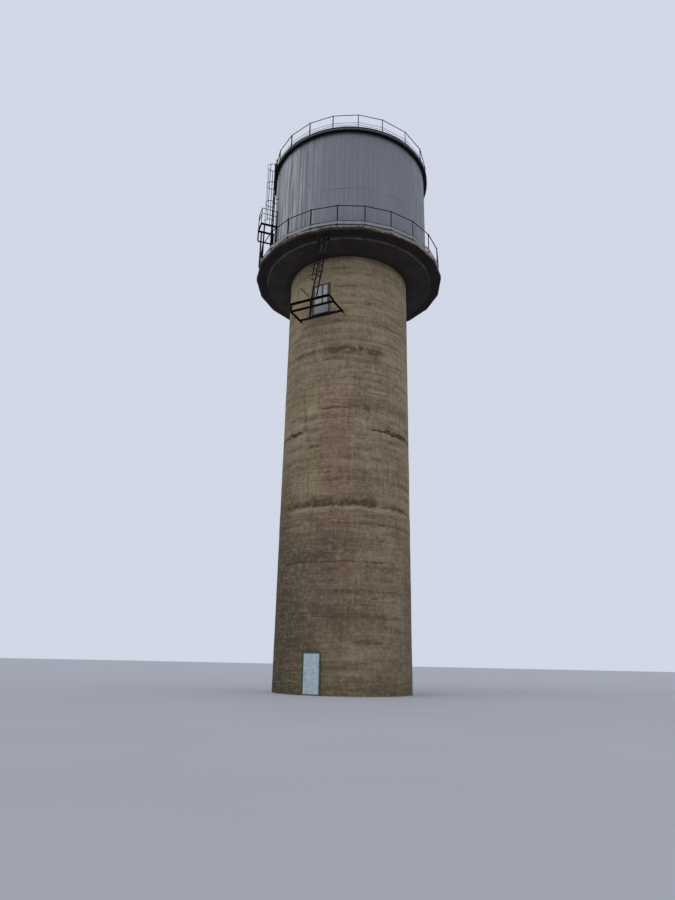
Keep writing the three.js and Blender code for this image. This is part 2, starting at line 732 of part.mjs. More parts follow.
function addEntrance() {
  const left = ENTRANCE_LEFT + GAP;
  const right = ENTRANCE_RIGHT - GAP;
  const top = ENTRANCE_HEAD - GAP;
  const hingeX = right - FRAME_WIDTH;
  addEntranceFrame(left, right, top, hingeX);
  const inset = FRAME_WIDTH + LEAF_GAP;
  const leafRight = right - inset;
  const pieces = [
    entranceLeaf(left + inset, leafRight, THRESHOLD + LEAF_GAP, top - inset),
    pullHandle(left + inset + PULL_INSET),
  ];
  HINGE_HEIGHTS.forEach((height) => {
    pieces.push(knuckle(hingeX, height + KNUCKLE_GAP, height + KNUCKLE, leafRight - HINGE_FLAP, leafRight));
  });
  addPiece('entrance_door', joined(pieces), PALE_PAINT);
}

function addBalconyDoor() {
  const left = -DOORWAY_HALF + GAP;
  const right = DOORWAY_HALF - GAP;
  const bottom = BALCONY_DOOR_SILL;
  const top = BALCONY_DOOR_HEAD - GAP;
  const frameFace = FRAME_FACE - UPPER_FRAME_INSET;
  const frame = frameAround(left, right, bottom, top, frameFace, FRAME_DEPTH, true, BALCONY_DOOR_JAMB);
  addPiece('balcony_door_frame', frame, GREEN_PAINT);
  const inset = FRAME_WIDTH + GAP;
  const face = -FRAME_FACE + UPPER_LEAF_INSET;
  const addLeaf = (name, from, to) => addPiece(
    name,
    box([from, face, bottom + inset], [to, face + LEAF_THICK, top - inset]),
    PALE_PAINT,
  );
  addLeaf('balcony_door_left', left + inset, BALCONY_DOOR_SPLIT - GAP / 2);
  addLeaf('balcony_door_right', BALCONY_DOOR_SPLIT + GAP / 2, right - BALCONY_DOOR_JAMB - GAP);
}

addShaft();
addFloors();
addGallerySlab();
addGalleryRailing();
addTank();
addRoof();
addRoofRailing();
addTankLadder();
addLanding();
addBalconyFrame();
addBalconyGuard();
addBalconyLadder();
addEntrance();
addBalconyDoor();

export default tower;
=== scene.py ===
"""Looks of a concrete water tower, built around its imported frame."""
import math
import random

import bmesh
import bpy
import numpy as np
from mathutils import Matrix, Vector, noise


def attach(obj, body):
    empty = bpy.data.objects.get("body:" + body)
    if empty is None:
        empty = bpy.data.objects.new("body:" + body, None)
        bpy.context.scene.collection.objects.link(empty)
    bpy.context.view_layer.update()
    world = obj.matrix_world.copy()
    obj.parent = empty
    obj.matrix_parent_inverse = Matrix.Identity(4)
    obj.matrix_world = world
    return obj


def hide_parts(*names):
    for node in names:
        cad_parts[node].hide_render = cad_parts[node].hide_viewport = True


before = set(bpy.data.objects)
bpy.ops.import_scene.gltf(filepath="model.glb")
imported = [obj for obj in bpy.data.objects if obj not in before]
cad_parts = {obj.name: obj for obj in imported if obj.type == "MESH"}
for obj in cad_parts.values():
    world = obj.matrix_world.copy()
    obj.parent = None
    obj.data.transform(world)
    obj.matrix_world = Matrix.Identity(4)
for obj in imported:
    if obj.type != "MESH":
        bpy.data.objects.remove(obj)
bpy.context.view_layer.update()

RANDOM = random.Random(7)

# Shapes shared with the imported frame, in metres and degrees.
SHAFT_RADIUS = 3.57
SHAFT_INNER = 3.32
SHAFT_TOP = 23.495
SLAB_SIDES = 20
SLAB_PHASE = 32.8
SLAB_TOP = 24.01
TANK_RADIUS = 4.83
TANK_TOP = 31.43
ROOF_EDGE = 31.45
ROOF_CROWN = 31.74
RIM = 5.025
EAVES = 31.22

# Low and high corners of the boxes cut out for the two doorways and the hatch.
ENTRANCE_OPENING = ((-0.36, -4.2, -0.1), (0.585, -3.0, 1.9))
BALCONY_OPENING = ((-0.585, -4.2, 19.97), (0.585, -3.0, 21.86))
HATCH_OPENING = ((0.44, -5.4, 23.0), (1.2, -4.8, 25.0))

# The tank ladder and its landing are drawn facing -Y and turned to their azimuth.
LADDER_TURN = Matrix.Rotation(math.radians(-43.5), 4, "Z")
# Both ladders: spacing of the rungs, outer and inner radius of the hoops.
RUNG_PITCH = 0.33
HOOP_OUTER = 0.313
HOOP_INNER = 0.307

GALLERY_POSTS = 23
GALLERY_RAIL_RADIUS = 5.61
ROOF_RAIL_RADIUS = 4.96

# Heights of the pour joints between the lifts of the shaft.
JOINTS = (1.35, 2.45, 3.6, 4.7, 6.1, 7.15, 8.0, 9.0, 10.65, 12.1, 13.05, 14.2, 15.4, 16.45, 17.6,
          18.75, 19.8, 20.9, 22.0, 22.9)
# Spacing of the faint stained bands on the shaft, and number of formwork boards round it.
BAND_PITCH = 1.13
BOARDS = 144
# Mesh columns of each board, as parts of its width: the groove and the board's two sides.
BOARD_COLUMNS = (0, 0.1, 0.9)


def lerp(a, b, t):
    return a + (b - a) * t


def plan(radius, azimuth, height=0.0):
    angle = math.radians(azimuth)
    return Vector((radius * math.sin(angle), -radius * math.cos(angle), height))


# Material nodes

class Value:
    """A socket that takes part in sums as a number does."""

    def __init__(self, graph, socket):
        self.graph = graph
        self.socket = socket

    def __add__(self, other):
        return self.graph.math("ADD", self, other)

    def __sub__(self, other):
        return self.graph.math("SUBTRACT", self, other)

    def __mul__(self, other):
        return self.graph.math("MULTIPLY", self, other)

    __radd__ = __add__
    __rmul__ = __mul__


class Graph:
    """Builds the nodes of one material."""

    def __init__(self, name):
        self.material = bpy.data.materials.new(name)
        self.material.use_nodes = True
        self.tree = self.material.node_tree
        self.tree.nodes.clear()
        self.color = None
        self.place = self.node("TexCoord").outputs["Object"]
        parts = self.node("SeparateXYZ", self.place)
        self.x, self.y, self.z = (Value(self, out) for out in parts.outputs)

    def node(self, kind, *values, **settings):
        """Makes a node and gives the values to its first inputs."""
        made = self.tree.nodes.new("ShaderNode" + kind)
        for key, value in settings.items():
            setattr(made, key, value)
        for socket, value in zip(made.inputs, values):
            self.set(socket, value)
        return made

    def set(self, socket, value):
        """Takes a socket, a number, or a colour of three sRGB numbers from 0 to 255."""
        if isinstance(value, Value):
            value = value.socket
        if isinstance(value, bpy.types.NodeSocket):
            self.tree.links.new(value, socket)
        elif isinstance(value, tuple):
            socket.default_value = rgb(*value)
        else:
            socket.default_value = value

    def math(self, operation, *values):
        return Value(self, self.node("Math", *values, operation=operation).outputs[0])

    def clamp(self, value):
        return Value(self, self.node("Clamp", value).outputs[0])

    def smooth(self, value, low, high):
        """Rises smoothly from zero at low to one at high."""
        made = self.node("MapRange", value, low, high, interpolation_type="SMOOTHSTEP")
        return Value(self, made.outputs[0])

    def window(self, value, low, high, soft):
        """One between low and high, fading to nothing over soft on both sides of each end."""
        half = (high - low) / 2
        away = self.math("ABSOLUTE", value - (low + high) / 2)
        return self.smooth(away, half + soft, half - soft)

    def noise(self, scale, detail=3.0, rough=0.55, stretch=(1, 1, 1), shift=0.0):
        mapping = self.node("Mapping", self.place)
        mapping.inputs["Location"].default_value = (shift, shift * 0.7, shift * 1.3)
        mapping.inputs["Scale"].default_value = stretch
        made = self.node("TexNoise", mapping.outputs[0])
        made.inputs["Scale"].default_value = scale
        made.inputs["Detail"].default_value = detail
        made.inputs["Roughness"].default_value = rough
        return Value(self, made.outputs[0])

    def cells(self, x, y, z):
        """A random value for each place."""
        place = self.node("CombineXYZ", x, y, z).outputs[0]
        made = self.node("TexWhiteNoise", place, noise_dimensions="3D")
        return Value(self, made.outputs["Value"])

    def mix(self, factor, a, b):
        made = self.node("Mix", data_type="RGBA")
        self.set(made.inputs[0], factor)
        self.set(made.inputs[6], a)
        self.set(made.inputs[7], b)
        return made.outputs[2]

    def paint(self, factor, tint):
        """Lays a tint over the colour made so far."""
        self.color = self.mix(factor, self.color, tint)

    def bump(self, height, strength, distance):
        made = self.node("Bump")
        made.inputs["Strength"].default_value = strength
        made.inputs["Distance"].default_value = distance
        self.set(made.inputs["Height"], height)
        return made.outputs[0]

    def azimuth(self):
        """Degrees round the tower from -Y, positive toward +X."""
        return self.math("ARCTAN2", self.x, self.y * -1.0) * math.degrees(1)

    def toward(self, az, first, last):
        """Rises from first to last azimuth, and fades before the back, where they wrap round."""
        sign = 1 if last > first else -1
        gone, full = 174.0 * sign, 124.0 * sign
        return self.smooth(az, first, last) * self.smooth(az, gone, full)

    def radius(self):
        """Distance from the tower's axis."""
        return self.math("SQRT", self.x * self.x + self.y * self.y)

    def surface(self, roughness, metallic=0.0, normal=None, specular=0.5):
        shader = self.node("BsdfPrincipled")
        self.set(shader.inputs["Base Color"], self.color)
        self.set(shader.inputs["Roughness"], roughness)
        shader.inputs["Metallic"].default_value = metallic
        shader.inputs["Specular IOR Level"].default_value = specular
        if normal is not None:
            self.set(shader.inputs["Normal"], normal)
        output = self.node("OutputMaterial")
        self.set(output.inputs["Surface"], shader.outputs[0])
        return self.material


def rgb(red, green, blue):
    """Linear colour of an sRGB one given in 0 to 255."""
    def linear(part):
        part /= 255
        return part / 12.92 if part <= 0.04045 else ((part + 0.055) / 1.055) ** 2.4
    return linear(red), linear(green), linear(blue), 1.0


# Stains on the shaft: middle height, half height, first and last azimuth, strength.
DARK_STAINS = (
    (9.03, 0.17, -36, 52, 1.0), (9.10, 0.24, -4, 16, 0.8), (9.14, 0.28, 42, 49, 1.0),
    (9.2, 0.14, -34, -22, 0.7), (9.0, 0.14, 61, 94, 0.9), (17.62, 0.14, -30, 62, 0.75),
    (17.58, 0.28, 6, 38, 0.7), (17.4, 0.3, 44, 56, 0.6), (18.7, 0.14, 0, 50, 0.4),
    (14.42, 0.22, 28, 92, 0.6), (14.2, 0.06, 4, 30, 1.0), (14.1, 0.2, 42, 46, 0.8),
    (13.25, 0.14, -14, -8, 1.0), (13.05, 0.1, -8, 4, 0.4), (12.15, 0.09, -8, 4, 0.8),
    (12.2, 0.1, -32, -16, 0.5), (19.6, 0.12, 22, 80, 0.3), (6.45, 0.34, -30, 18, 0.6),
    (7.15, 0.1, -46, -16, 0.6), (6.13, 0.06, -34, 60, 0.8), (3.5, 0.45, -18, 62, 0.4),
    (2.35, 0.3, -24, 6, 0.5), (4.72, 0.06, 20, 80, 0.6), (22.4, 0.1, 10, 100, 0.25),
    (16.7, 0.12, 42, 47, 0.7), (15.3, 0.08, 38, 43, 0.7), (10.66, 0.05, 4, 50, 0.6),
    (5.2, 0.05, -40, 20, 0.5), (7.1, 0.42, 6, 62, 0.5),
)
# Upright cracks: azimuth, lower and upper end, strength.
CRACKS = (
    (-30.0, 13.0, 14.0, 0.7), (-11.6, 13.1, 14.35, 0.9), (27.8, 13.25, 13.75, 0.8),
    (-7.0, 9.3, 10.3, 0.4), (17.0, 6.3, 7.6, 0.4), (44.0, 4.8, 6.2, 0.5), (52.0, 16.4, 17.2, 0.4),
    (80.0, 13.2, 14.6, 0.5),
)
# Open pour joints: middle height, half height, first and last azimuth, strength.
OPEN_JOINTS = (
    (13.05, 0.05, -56, -15, 1.0), (13.04, 0.1, -34, -18, 1.0), (13.06, 0.05, 48.5, 106, 1.0),
    (13.1, 0.11, 62, 90, 1.0), (8.98, 0.03, -38, 90, 0.4),
)


def stain_mask(g, stains, z, az, breakup, soft):
    total = 0.0
    for middle, half, first, last, strength in stains:
        band = g.window(z, middle - half, middle + half, half * soft)
        total = total + band * g.window(az, first, last, 3.0) * strength
    return g.clamp(total * breakup)


def pour_bands(g):
    """Wavering pour joints: a broken dark line, with a stained foot of the next lift above it."""
    wander = (g.noise(0.9, 4.0, 0.65, shift=23.0) - 0.5) * 0.36
    turn = g.math("FRACT", (g.z + wander) * (1 / BAND_PITCH) + 0.95)
    patch = g.smooth(g.noise(0.8, 4.0, 0.65, shift=24.0), 0.4, 0.62)
    stained = g.smooth(turn, 0.34, 0.0) * patch
    g.paint(stained * 0.5, (88, 72, 55))
    g.paint(g.window(turn, 0.0, 0.03, 0.02) * patch * 0.6, (58, 46, 36))


def crack_mask(g, az):
    bend = (g.noise(2.4, 4.0, 0.7, shift=25.0) - 0.5) * 3.0
    total = 0.0
    for azimuth, low, high, strength in CRACKS:
        line = g.window(az + bend, azimuth - 0.45, azimuth + 0.45, 0.35)
        total = total + line * g.window(g.z, low, high, 0.08) * strength
    return g.clamp(total)


def board_number(g, az):
    return g.math("FLOOR", (az + 180.0) * (BOARDS / 360))


def concrete_material():
    g = Graph("weathered_concrete")
    az = g.azimuth()
    warp = g.noise(1.6, 4.0, shift=3.1)
    fine_warp = g.noise(7.0, 3.0, shift=9.4)
    z = g.z + (warp - 0.5) * 0.32 + (fine_warp - 0.5) * 0.1
    az_warped = az + (warp - 0.5) * 9.0
    blotch = g.noise(0.45, 4.0, 0.6, shift=1.7)
    grain = g.noise(26.0, 4.0, 0.65, shift=5.0)
    streak = g.noise(1.0, 4.0, 0.6, stretch=(3.2, 3.2, 0.16), shift=2.2)
    courses = g.noise(1.0, 4.0, 0.6, stretch=(0.35, 0.35, 3.4), shift=8.8)
    board = g.cells(board_number(g, az), g.math("FLOOR", g.z * 0.93 + 0.15), 0.5)
    light, middle, dark = (173, 154, 123), (149, 130, 101), (86, 71, 52)
    g.color = g.mix(g.smooth(blotch, 0.3, 0.7), middle, light)
    # Painted light: the upper right of the shaft made paler, making up for the sun's falloff toward
    # the right.
    painted_light_upper_right = g.window(az_warped, 20.0, 92.0, 12.0) * g.window(z, 12.6, 21.8, 1.6)
    g.paint(painted_light_upper_right * 0.35, (190, 168, 138))
    g.paint(g.smooth(courses, 0.42, 0.7) * 0.5, dark)
    g.paint(g.smooth(streak, 0.5, 0.8) * 0.25, dark)
    g.paint(g.smooth(board, 0.1, 1.0) * 0.14, dark)
    tints_and_painted_light(g, z, az_warped)
    ragged = stains_and_joints(g, z, az, az_warped)
    damp_shade_and_moss(g, az, warp)
    surface_grain(g, grain, dark)
    height = grain * 0.5 + streak * 0.4 + fine_warp * 0.8 + ragged * 0.6
    return g.surface(0.92, normal=g.bump(height, 0.7, 0.025), specular=0.25)


def tints_and_painted_light(g, z, az_warped):
    """Pink and mauve fields, moss green on the left and under the slab, and painted light below the
    slab.
    """
    pink = g.window(az_warped, 4.0, 34.0, 9.0) * g.window(z, 2.5, 15.6, 1.6)
    pink = pink * g.smooth(g.noise(0.9, 4.0, shift=11.0), 0.28, 0.6)
    g.paint(pink * 0.6, (138, 106, 88))
    rose = g.window(az_warped, 84.0, 104.0, 5.0) * g.window(z, 1.0, 7.5, 1.0)
    mauve = g.window(az_warped, -18.0, 24.0, 8.0) * g.window(z, 2.6, 7.6, 0.6)
    g.paint(g.clamp(rose * 0.6 + mauve * 0.35), (120, 99, 94))
    left = g.toward(az_warped, -8.0, -34.0) * g.smooth(g.noise(0.7, 4.0, shift=4.4), 0.42, 0.62)
    g.paint(left * g.window(z, 9.4, 20.5, 1.2) * 0.5, (128, 126, 90))
    crown = g.smooth(z, 21.2, 23.2) * g.smooth(g.noise(1.3, 4.0, shift=6.5), 0.38, 0.66)
    # Painted light: a pale band below the slab, making up for the slab's shade there.
    g.paint(g.smooth(g.z, 20.4, 22.4) * 0.5, (196, 175, 142))
    g.paint(crown * 0.45, (136, 130, 86))


def stains_and_joints(g, z, az, az_warped):
    """Dark stains, open joints, cracks and a pale ledge; gives back their edge noise."""
    gap = g.smooth(g.noise(2.6, 5.0, 0.7, shift=7.7), 0.26, 0.52)
    g.paint(stain_mask(g, DARK_STAINS, z, az_warped, gap, 0.9) * 0.85, (72, 57, 42))
    ragged = g.noise(3.2, 6.0, 0.75, shift=14.0)
    steps = g.cells(board_number(g, az), 0.5, 0.5)
    sharp_z = g.z + (ragged - 0.5) * 0.42 + (steps - 0.5) * 0.09
    crack = g.smooth(g.noise(4.2, 5.0, 0.7, shift=12.0), 0.36, 0.46)
    rusty = stain_mask(g, OPEN_JOINTS, sharp_z, az, 1.0, 2.6)
    g.paint(rusty * 0.45, (74, 56, 38))
    g.paint(stain_mask(g, OPEN_JOINTS, sharp_z, az, crack, 0.8), (30, 23, 17))
    g.paint(crack_mask(g, az) * crack, (44, 34, 26))
    pour_bands(g)
    ledge = g.window(sharp_z, 8.7, 8.86, 0.05) * g.window(az, -36.0, 92.0, 3.0)
    g.paint(ledge * 0.55, (186, 168, 142))
    return ragged


def damp_shade_and_moss(g, az, warp):
    """Damp and painted shade on the lower left, moss, painted shade at the shaft's head, and its dark
    foot.
    """
    # Partly real damp, partly painted shade: darker toward the bottom and the left.
    damp_and_shade = g.smooth(g.z + (warp - 0.5) * 2.0, 12.5, 3.0) * (0.2 + 0.8 * g.toward(az, 40.0, -30.0))
    g.paint(damp_and_shade * 0.72, (65, 57, 39))
    shaded = g.smooth(g.z + (warp - 0.5) * 2.0, 13.5, 9.0) * g.toward(az, -8.0, -40.0)
    g.paint(shaded * 0.6, (54, 48, 34))
    g.paint(wall_marks(g), (146, 152, 84))
    # Painted shade under the slab, partly moss, darkening the head of the shaft.
    g.paint(g.smooth(g.z + (warp - 0.5) * 0.4, 23.05, 23.45) * 0.6, (66, 58, 44))
    foot = g.smooth(g.z + (warp - 0.5) * 1.4, 1.5, 0.0)
    g.paint(foot * 0.5, (66, 64, 46))


def wall_marks(g):
    """Moss right of the upper doorway."""
    side = g.window(g.x, 0.62, 0.89, 0.1) * g.window(g.z, 20.88, 21.46, 0.12)
    front = side * g.smooth(g.y, -2.0, -3.0)
    return front * g.smooth(g.noise(5.0, 4.0, 0.7, shift=26.0), 0.3, 0.55) * 0.9


def surface_grain(g, grain, dark):
    """Pits, thin courses and board marks, down to a few centimetres."""
    pale = (194, 174, 139)
    speck = g.noise(5.0, 5.0, 0.8, shift=15.0)
    lines = g.noise(1.0, 5.0, 0.75, stretch=(0.8, 0.8, 7.5), shift=16.0)
    thin = g.noise(1.0, 4.0, 0.75, stretch=(0.6, 0.6, 15.0), shift=21.0)
    marks = g.noise(1.0, 5.0, 0.7, stretch=(10.0, 10.0, 0.6), shift=17.0)
    patches = g.smooth(g.noise(0.5, 2.0, shift=18.0), 0.4, 0.6)
    for tone, low, high, strength, shade in (
        (speck, 0.5, 0.64, 0.36, dark), (speck, 0.5, 0.36, 0.28, pale),
        (lines, 0.52, 0.66, 0.32, dark), (lines, 0.47, 0.35, 0.24, pale),
        (thin, 0.56, 0.68, 0.32, dark), (thin, 0.42, 0.34, 0.2, pale),
    ):
        g.paint(g.smooth(tone, low, high) * strength, shade)
    g.paint(g.smooth(marks, 0.52, 0.64) * patches * 0.42, dark)
    pits = g.smooth(g.noise(10.0, 3.0, 0.6, shift=19.0), 0.64, 0.7)
    g.paint(pits * 0.8, (44, 36, 28))
    g.paint(g.smooth(grain, 0.35, 0.75) * 0.2, dark)


def slab_material():
    g = Graph("dark_weathered_concrete")
    radius = g.radius()
    patch = g.noise(1.1, 5.0, 0.65, shift=2.0)
    fine = g.noise(9.0, 5.0, 0.7, shift=5.5)
    az = g.azimuth()
    under, edge, pale = (52, 45, 44), (88, 77, 66), (168, 158, 142)
    g.color = g.mix(g.smooth(patch, 0.35, 0.7) * 0.6, under, (70, 62, 60))
    # Painted shade: the underside of the outer ring darker.
    g.paint(g.smooth(radius, 5.06, 5.12) * 0.6, (30, 26, 23))
    olive = g.smooth(radius, 5.06, 5.12) * g.smooth(patch, 0.45, 0.6) * g.toward(az, 10.0, -40.0)
    g.paint(olive * 0.5, (58, 52, 36))
    # Painted shade where the underside meets the shaft.
    g.paint(g.smooth(radius, 4.1, 3.6) * 0.4, (30, 25, 25))
    rim = g.smooth(g.z + (fine - 0.5) * 0.1, 23.7, 23.78) * g.smooth(radius, 5.5, 5.6)
    broad = g.noise(1.6, 5.0, 0.7, stretch=(1, 1, 0.5), shift=9.0)
    face = g.mix(g.smooth(fine, 0.35, 0.65), edge, (44, 37, 33))
    face = g.mix(g.smooth(broad, 0.45, 0.6) * 0.6, face, (40, 34, 30))
    reach = 0.09 * g.toward(az, 36.0, 44.0) + (broad - 0.5) * 0.6 + (fine - 0.5) * 0.3
    face = g.mix(g.smooth(g.z + reach, 23.87, 23.93) * 0.75, face, pale)
    face = g.mix(g.smooth(g.z + reach, 23.79, 23.74) * 0.7, face, (26, 21, 18))
    moss = g.smooth(g.noise(2.2, 5.0, 0.7, shift=8.0), 0.52, 0.62)
    face = g.mix(moss * 0.6, face, (88, 92, 48))
    g.paint(rim, face)
    top = g.smooth(g.z, 24.0, 24.008)
    g.paint(top, g.mix(moss, (122, 112, 98), (84, 88, 54)))
    # Painted highlight: a pale line along the step in the underside.
    step_highlight = g.window(radius, 5.0, 5.12, 0.015) * g.smooth(g.z, 23.7, 23.66)
    step_highlight = step_highlight * g.smooth(patch, 0.3, 0.5)
    g.paint(step_highlight * g.window(az, -60.0, 98.0, 14.0) * 0.8, (106, 99, 96))
    return g.surface(0.95, normal=g.bump(fine + patch, 0.5, 0.03), specular=0.2)


def cladding_material():
    g = Graph("ribbed_grey_sheet")
    az = g.azimuth()
    cloud = g.noise(0.6, 3.0, 0.5, shift=1.0)
    streak = g.noise(1.0, 4.0, 0.6, stretch=(7.0, 7.0, 0.12), shift=3.0)
    sheet = g.cells(g.math("FLOOR", (az + 180.0) * 0.1), g.math("FLOOR", g.z * 0.27), 0.3)
    g.color = g.mix(g.smooth(cloud, 0.3, 0.7) * 0.5, (126, 130, 136), (118, 121, 126))
    # Painted light: lighter toward the right, making up for the sun's falloff there.
    g.paint(g.toward(az, 15.0, 60.0) * 0.5, (138, 139, 141))
    g.paint(sheet * 0.1, (138, 141, 149))
    # Painted light: the left side lighter, with a painted highlight at the far left.
    side = g.toward(az, -4.0, -40.0)
    g.paint(side * 0.5, (190, 192, 198))
    g.paint(g.window(az, -92.0, -50.0, 12.0) * 0.7, (206, 205, 202))
    glare = g.smooth(g.noise(1.0, 5.0, 0.7, stretch=(8.0, 8.0, 0.25), shift=3.0), 0.5, 0.6)
    near_side = g.window(az, -104.0, -10.0, 24.0)
    far_side = g.window(az, 78.0, 96.0, 10.0)
    sides = g.clamp(near_side + far_side * 0.35 + 0.07)
    g.paint(glare * sides * 0.65, (208, 206, 200))
    # Painted sheen on the ribs: narrow light streaks, and painted shade streaks on the near side.
    line = g.noise(1.0, 3.0, 0.6, stretch=(9.0, 9.0, 0.16), shift=31.0)
    g.paint(g.smooth(line, 0.51, 0.57) * sides * 0.62, (206, 202, 194))
    g.paint(g.smooth(line, 0.48, 0.42) * near_side * 0.65, (84, 87, 92))
    painted_rib_shade = g.smooth(g.noise(1.0, 5.0, 0.7, stretch=(8.0, 8.0, 0.25), shift=5.0), 0.5, 0.62)
    g.paint(painted_rib_shade * near_side * 0.5, (80, 83, 88))
    # Painted highlight, beige, high on the left side.
    beige = g.window(az, -66.0, -40.0, 16.0) * g.smooth(g.z, 28.2, 31.0)
    g.paint(beige * 0.5, (168, 158, 138))
    dirt = g.smooth(streak, 0.5, 0.25) * g.smooth(g.z, 26.5, 24.0)
    g.paint(dirt * 0.25, (78, 76, 74))
    lap = g.window(g.z, 27.17, 27.205, 0.012) * g.window(az, 4.0, 66.0, 16.0)
    g.paint(lap * 0.35, (70, 74, 80))
    shade = g.smooth(g.z, 31.0, 31.2)
    g.paint(shade * 0.6, (40, 42, 48))
    rough = 0.6 + 0.1 * cloud
    return g.surface(rough, metallic=0.05, normal=g.bump(cloud, 0.2, 0.02), specular=0.3)


def roof_material():
    g = Graph("dark_roof_sheet")
    patch = g.noise(1.5, 5.0, 0.6, shift=2.0)
    rust = g.smooth(g.noise(3.5, 5.0, 0.7, shift=5.0), 0.58, 0.72)
    g.color = g.mix(g.smooth(patch, 0.3, 0.7), (46, 49, 55), (60, 62, 66))
    g.paint(rust * 0.5, (78, 56, 42))
    band = g.smooth(g.radius(), RIM - 0.03, RIM - 0.01)
    g.paint(band * 0.75, (26, 29, 35))
    stripe = g.window(g.z, EAVES + 0.055, EAVES + 0.115, 0.01) * band
    g.paint(stripe * 0.68, (138, 138, 140))
    # Painted shade: the fascia's lower lip and the soffit black, standing in for shade under the
    # eaves.
    g.paint(g.smooth(g.z, EAVES + 0.055, EAVES + 0.045), (12, 12, 14))
    rough = 0.6 + 0.2 * patch
    return g.surface(rough, metallic=0.2, normal=g.bump(patch, 0.2, 0.01), specular=0.3)


def patchy_paint(name, grain, edges, share, paint, soil, rough, specular, depth=0.002):
    """Paint with patches of rust or soil; grain is the scale and shift of their noise."""
    g = Graph(name)
    patch = g.noise(grain[0], 5.0, 0.7, shift=grain[1])
    g.color = g.mix(g.smooth(patch, *edges) * share, paint, soil)
    return g.surface(rough, normal=g.bump(patch, 0.4, depth), specular=specular)


def ladder_material():
    """Black paint that is worn to bare grey in the ladder's upper part."""
    g = Graph("worn_black_paint")
    patch = g.noise(6.0, 5.0, 0.7, shift=3.0)
    worn = g.window(g.z + (patch - 0.5) * 0.6, 22.9, 23.6, 0.15)
    g.color = g.mix(g.smooth(patch, 0.55, 0.72) * 0.5, (14, 13, 14), (54, 38, 28))
    g.paint(worn * 0.75, (88, 86, 88))
    return g.surface(0.75, normal=g.bump(patch, 0.4, 0.002), specular=0.2)


def door_paint(name, base, worn, under):
    g = Graph(name)
    patch = g.noise(4.0, 5.0, 0.7, shift=3.0)
    flake = g.smooth(g.noise(11.0, 5.0, 0.75, shift=7.0), 0.56, 0.64)
    run = g.smooth(g.noise(1.0, 4.0, 0.6, stretch=(9.0, 9.0, 0.7), shift=1.0), 0.5, 0.75)
    g.color = g.mix(g.smooth(patch, 0.3, 0.7), base, worn)
    g.paint(run * 0.35, under)
    g.paint(flake * 0.6, under)
    return g.surface(0.62 + 0.2 * flake, normal=g.bump(patch - flake * 0.5, 0.3, 0.003))


CONCRETE = concrete_material()
SLAB = slab_material()
CLADDING = cladding_material()
ROOF = roof_material()
STEEL = patchy_paint(
    "black_paint_with_rust", (6.0, 2.0), (0.55, 0.72), 0.5, (11, 10, 11), (48, 32, 24), 0.8, 0.15)
LADDER = ladder_material()
RAIL = patchy_paint(
    "grey_paint_with_rust", (5.0, 4.0), (0.52, 0.7), 0.6, (30, 30, 32), (62, 44, 34), 0.75, 0.2)
BOARD = patchy_paint(
    "pale_toe_board", (3.0, 6.0), (0.45, 0.7), 0.7, (152, 154, 156), (118, 115, 110), 0.8, 0.5,
    depth=0.003)
DOOR = door_paint("pale_door_paint", (196, 208, 214), (170, 186, 194), (110, 104, 92))
DOOR_LOW = door_paint("blue_grey_door_paint", (144, 146, 141), (124, 127, 125), (84, 78, 70))
FRAME = door_paint("green_frame_paint", (58, 84, 70), (66, 92, 78), (58, 50, 40))
WORN_FRAME = door_paint("worn_frame_paint", (60, 62, 54), (74, 72, 60), (52, 44, 36))
UPPER_DOOR = door_paint("dull_door_paint", (192, 190, 184), (168, 166, 161), (110, 102, 92))


# Mesh helpers

def object_of(name, verts, faces, angle=35):
    mesh = bpy.data.meshes.new(name)
    mesh.from_pydata([tuple(v) for v in verts], [], faces)
    mesh.validate()
    tidy = bmesh.new()
    tidy.from_mesh(mesh)
    bmesh.ops.recalc_face_normals(tidy, faces=tidy.faces)
    tidy.to_mesh(mesh)
    tidy.free()
    mesh.shade_smooth()
    mesh.set_sharp_from_angle(angle=math.radians(angle))
    obj = bpy.data.objects.new(name, mesh)
    bpy.context.scene.collection.objects.link(obj)
    return obj


def set_material(obj, material):
    obj.data.materials.clear()
    obj.data.materials.append(material)


def wear(node, material):
    """Gives a part of the frame its looks and leaves its shape alone."""
    set_material(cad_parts[node], material)


def finish_piece(obj, material, replaces, body="tower"):
    set_material(obj, material)
    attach(obj, body)
    if replaces:
        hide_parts(*replaces)


def numbered(name, count):
    return [f"{name}_{i}" for i in range(1, count + 1)]


def pairs_round(items):
    """Each item with the next one, and the last with the first."""
    return zip(items, [*items[1:], items[0]])


def side_faces(rings, columns, start=0):
    """Faces between rings of points, the first of which begins at point number start."""
    faces = []
    for i in range(rings - 1):
        a = start + i * columns
        for j in range(columns):
            k = (j + 1) % columns
            faces.append((a + j, a + k, a + columns + k, a + columns + j))
    return faces


def end_faces(rings, columns, start=0):
    last = start + (rings - 1) * columns
    first_end = tuple(start + j for j in reversed(range(columns)))
    return [first_end, tuple(last + j for j in range(columns))]


def turned(name, rings, angle, close_ends=True):
    """Closed surface through rings of points: shut at both ends, or joined from last to first."""
    count, columns = len(rings), len(rings[0])
    verts = [v for ring in rings for v in ring]
    faces = side_faces(count, columns)
    if close_ends:
        faces += end_faces(count, columns)
    else:
        last = (count - 1) * columns
        for j in range(columns):
            k = (j + 1) % columns
            faces.append((last + j, last + k, k, j))
    return object_of(name, verts, faces, angle)


BOX_FACES = [(0, 1, 3, 2), (4, 6, 7, 5), (0, 4, 5, 1), (2, 3, 7, 6), (0, 2, 6, 4), (1, 5, 7, 3)]


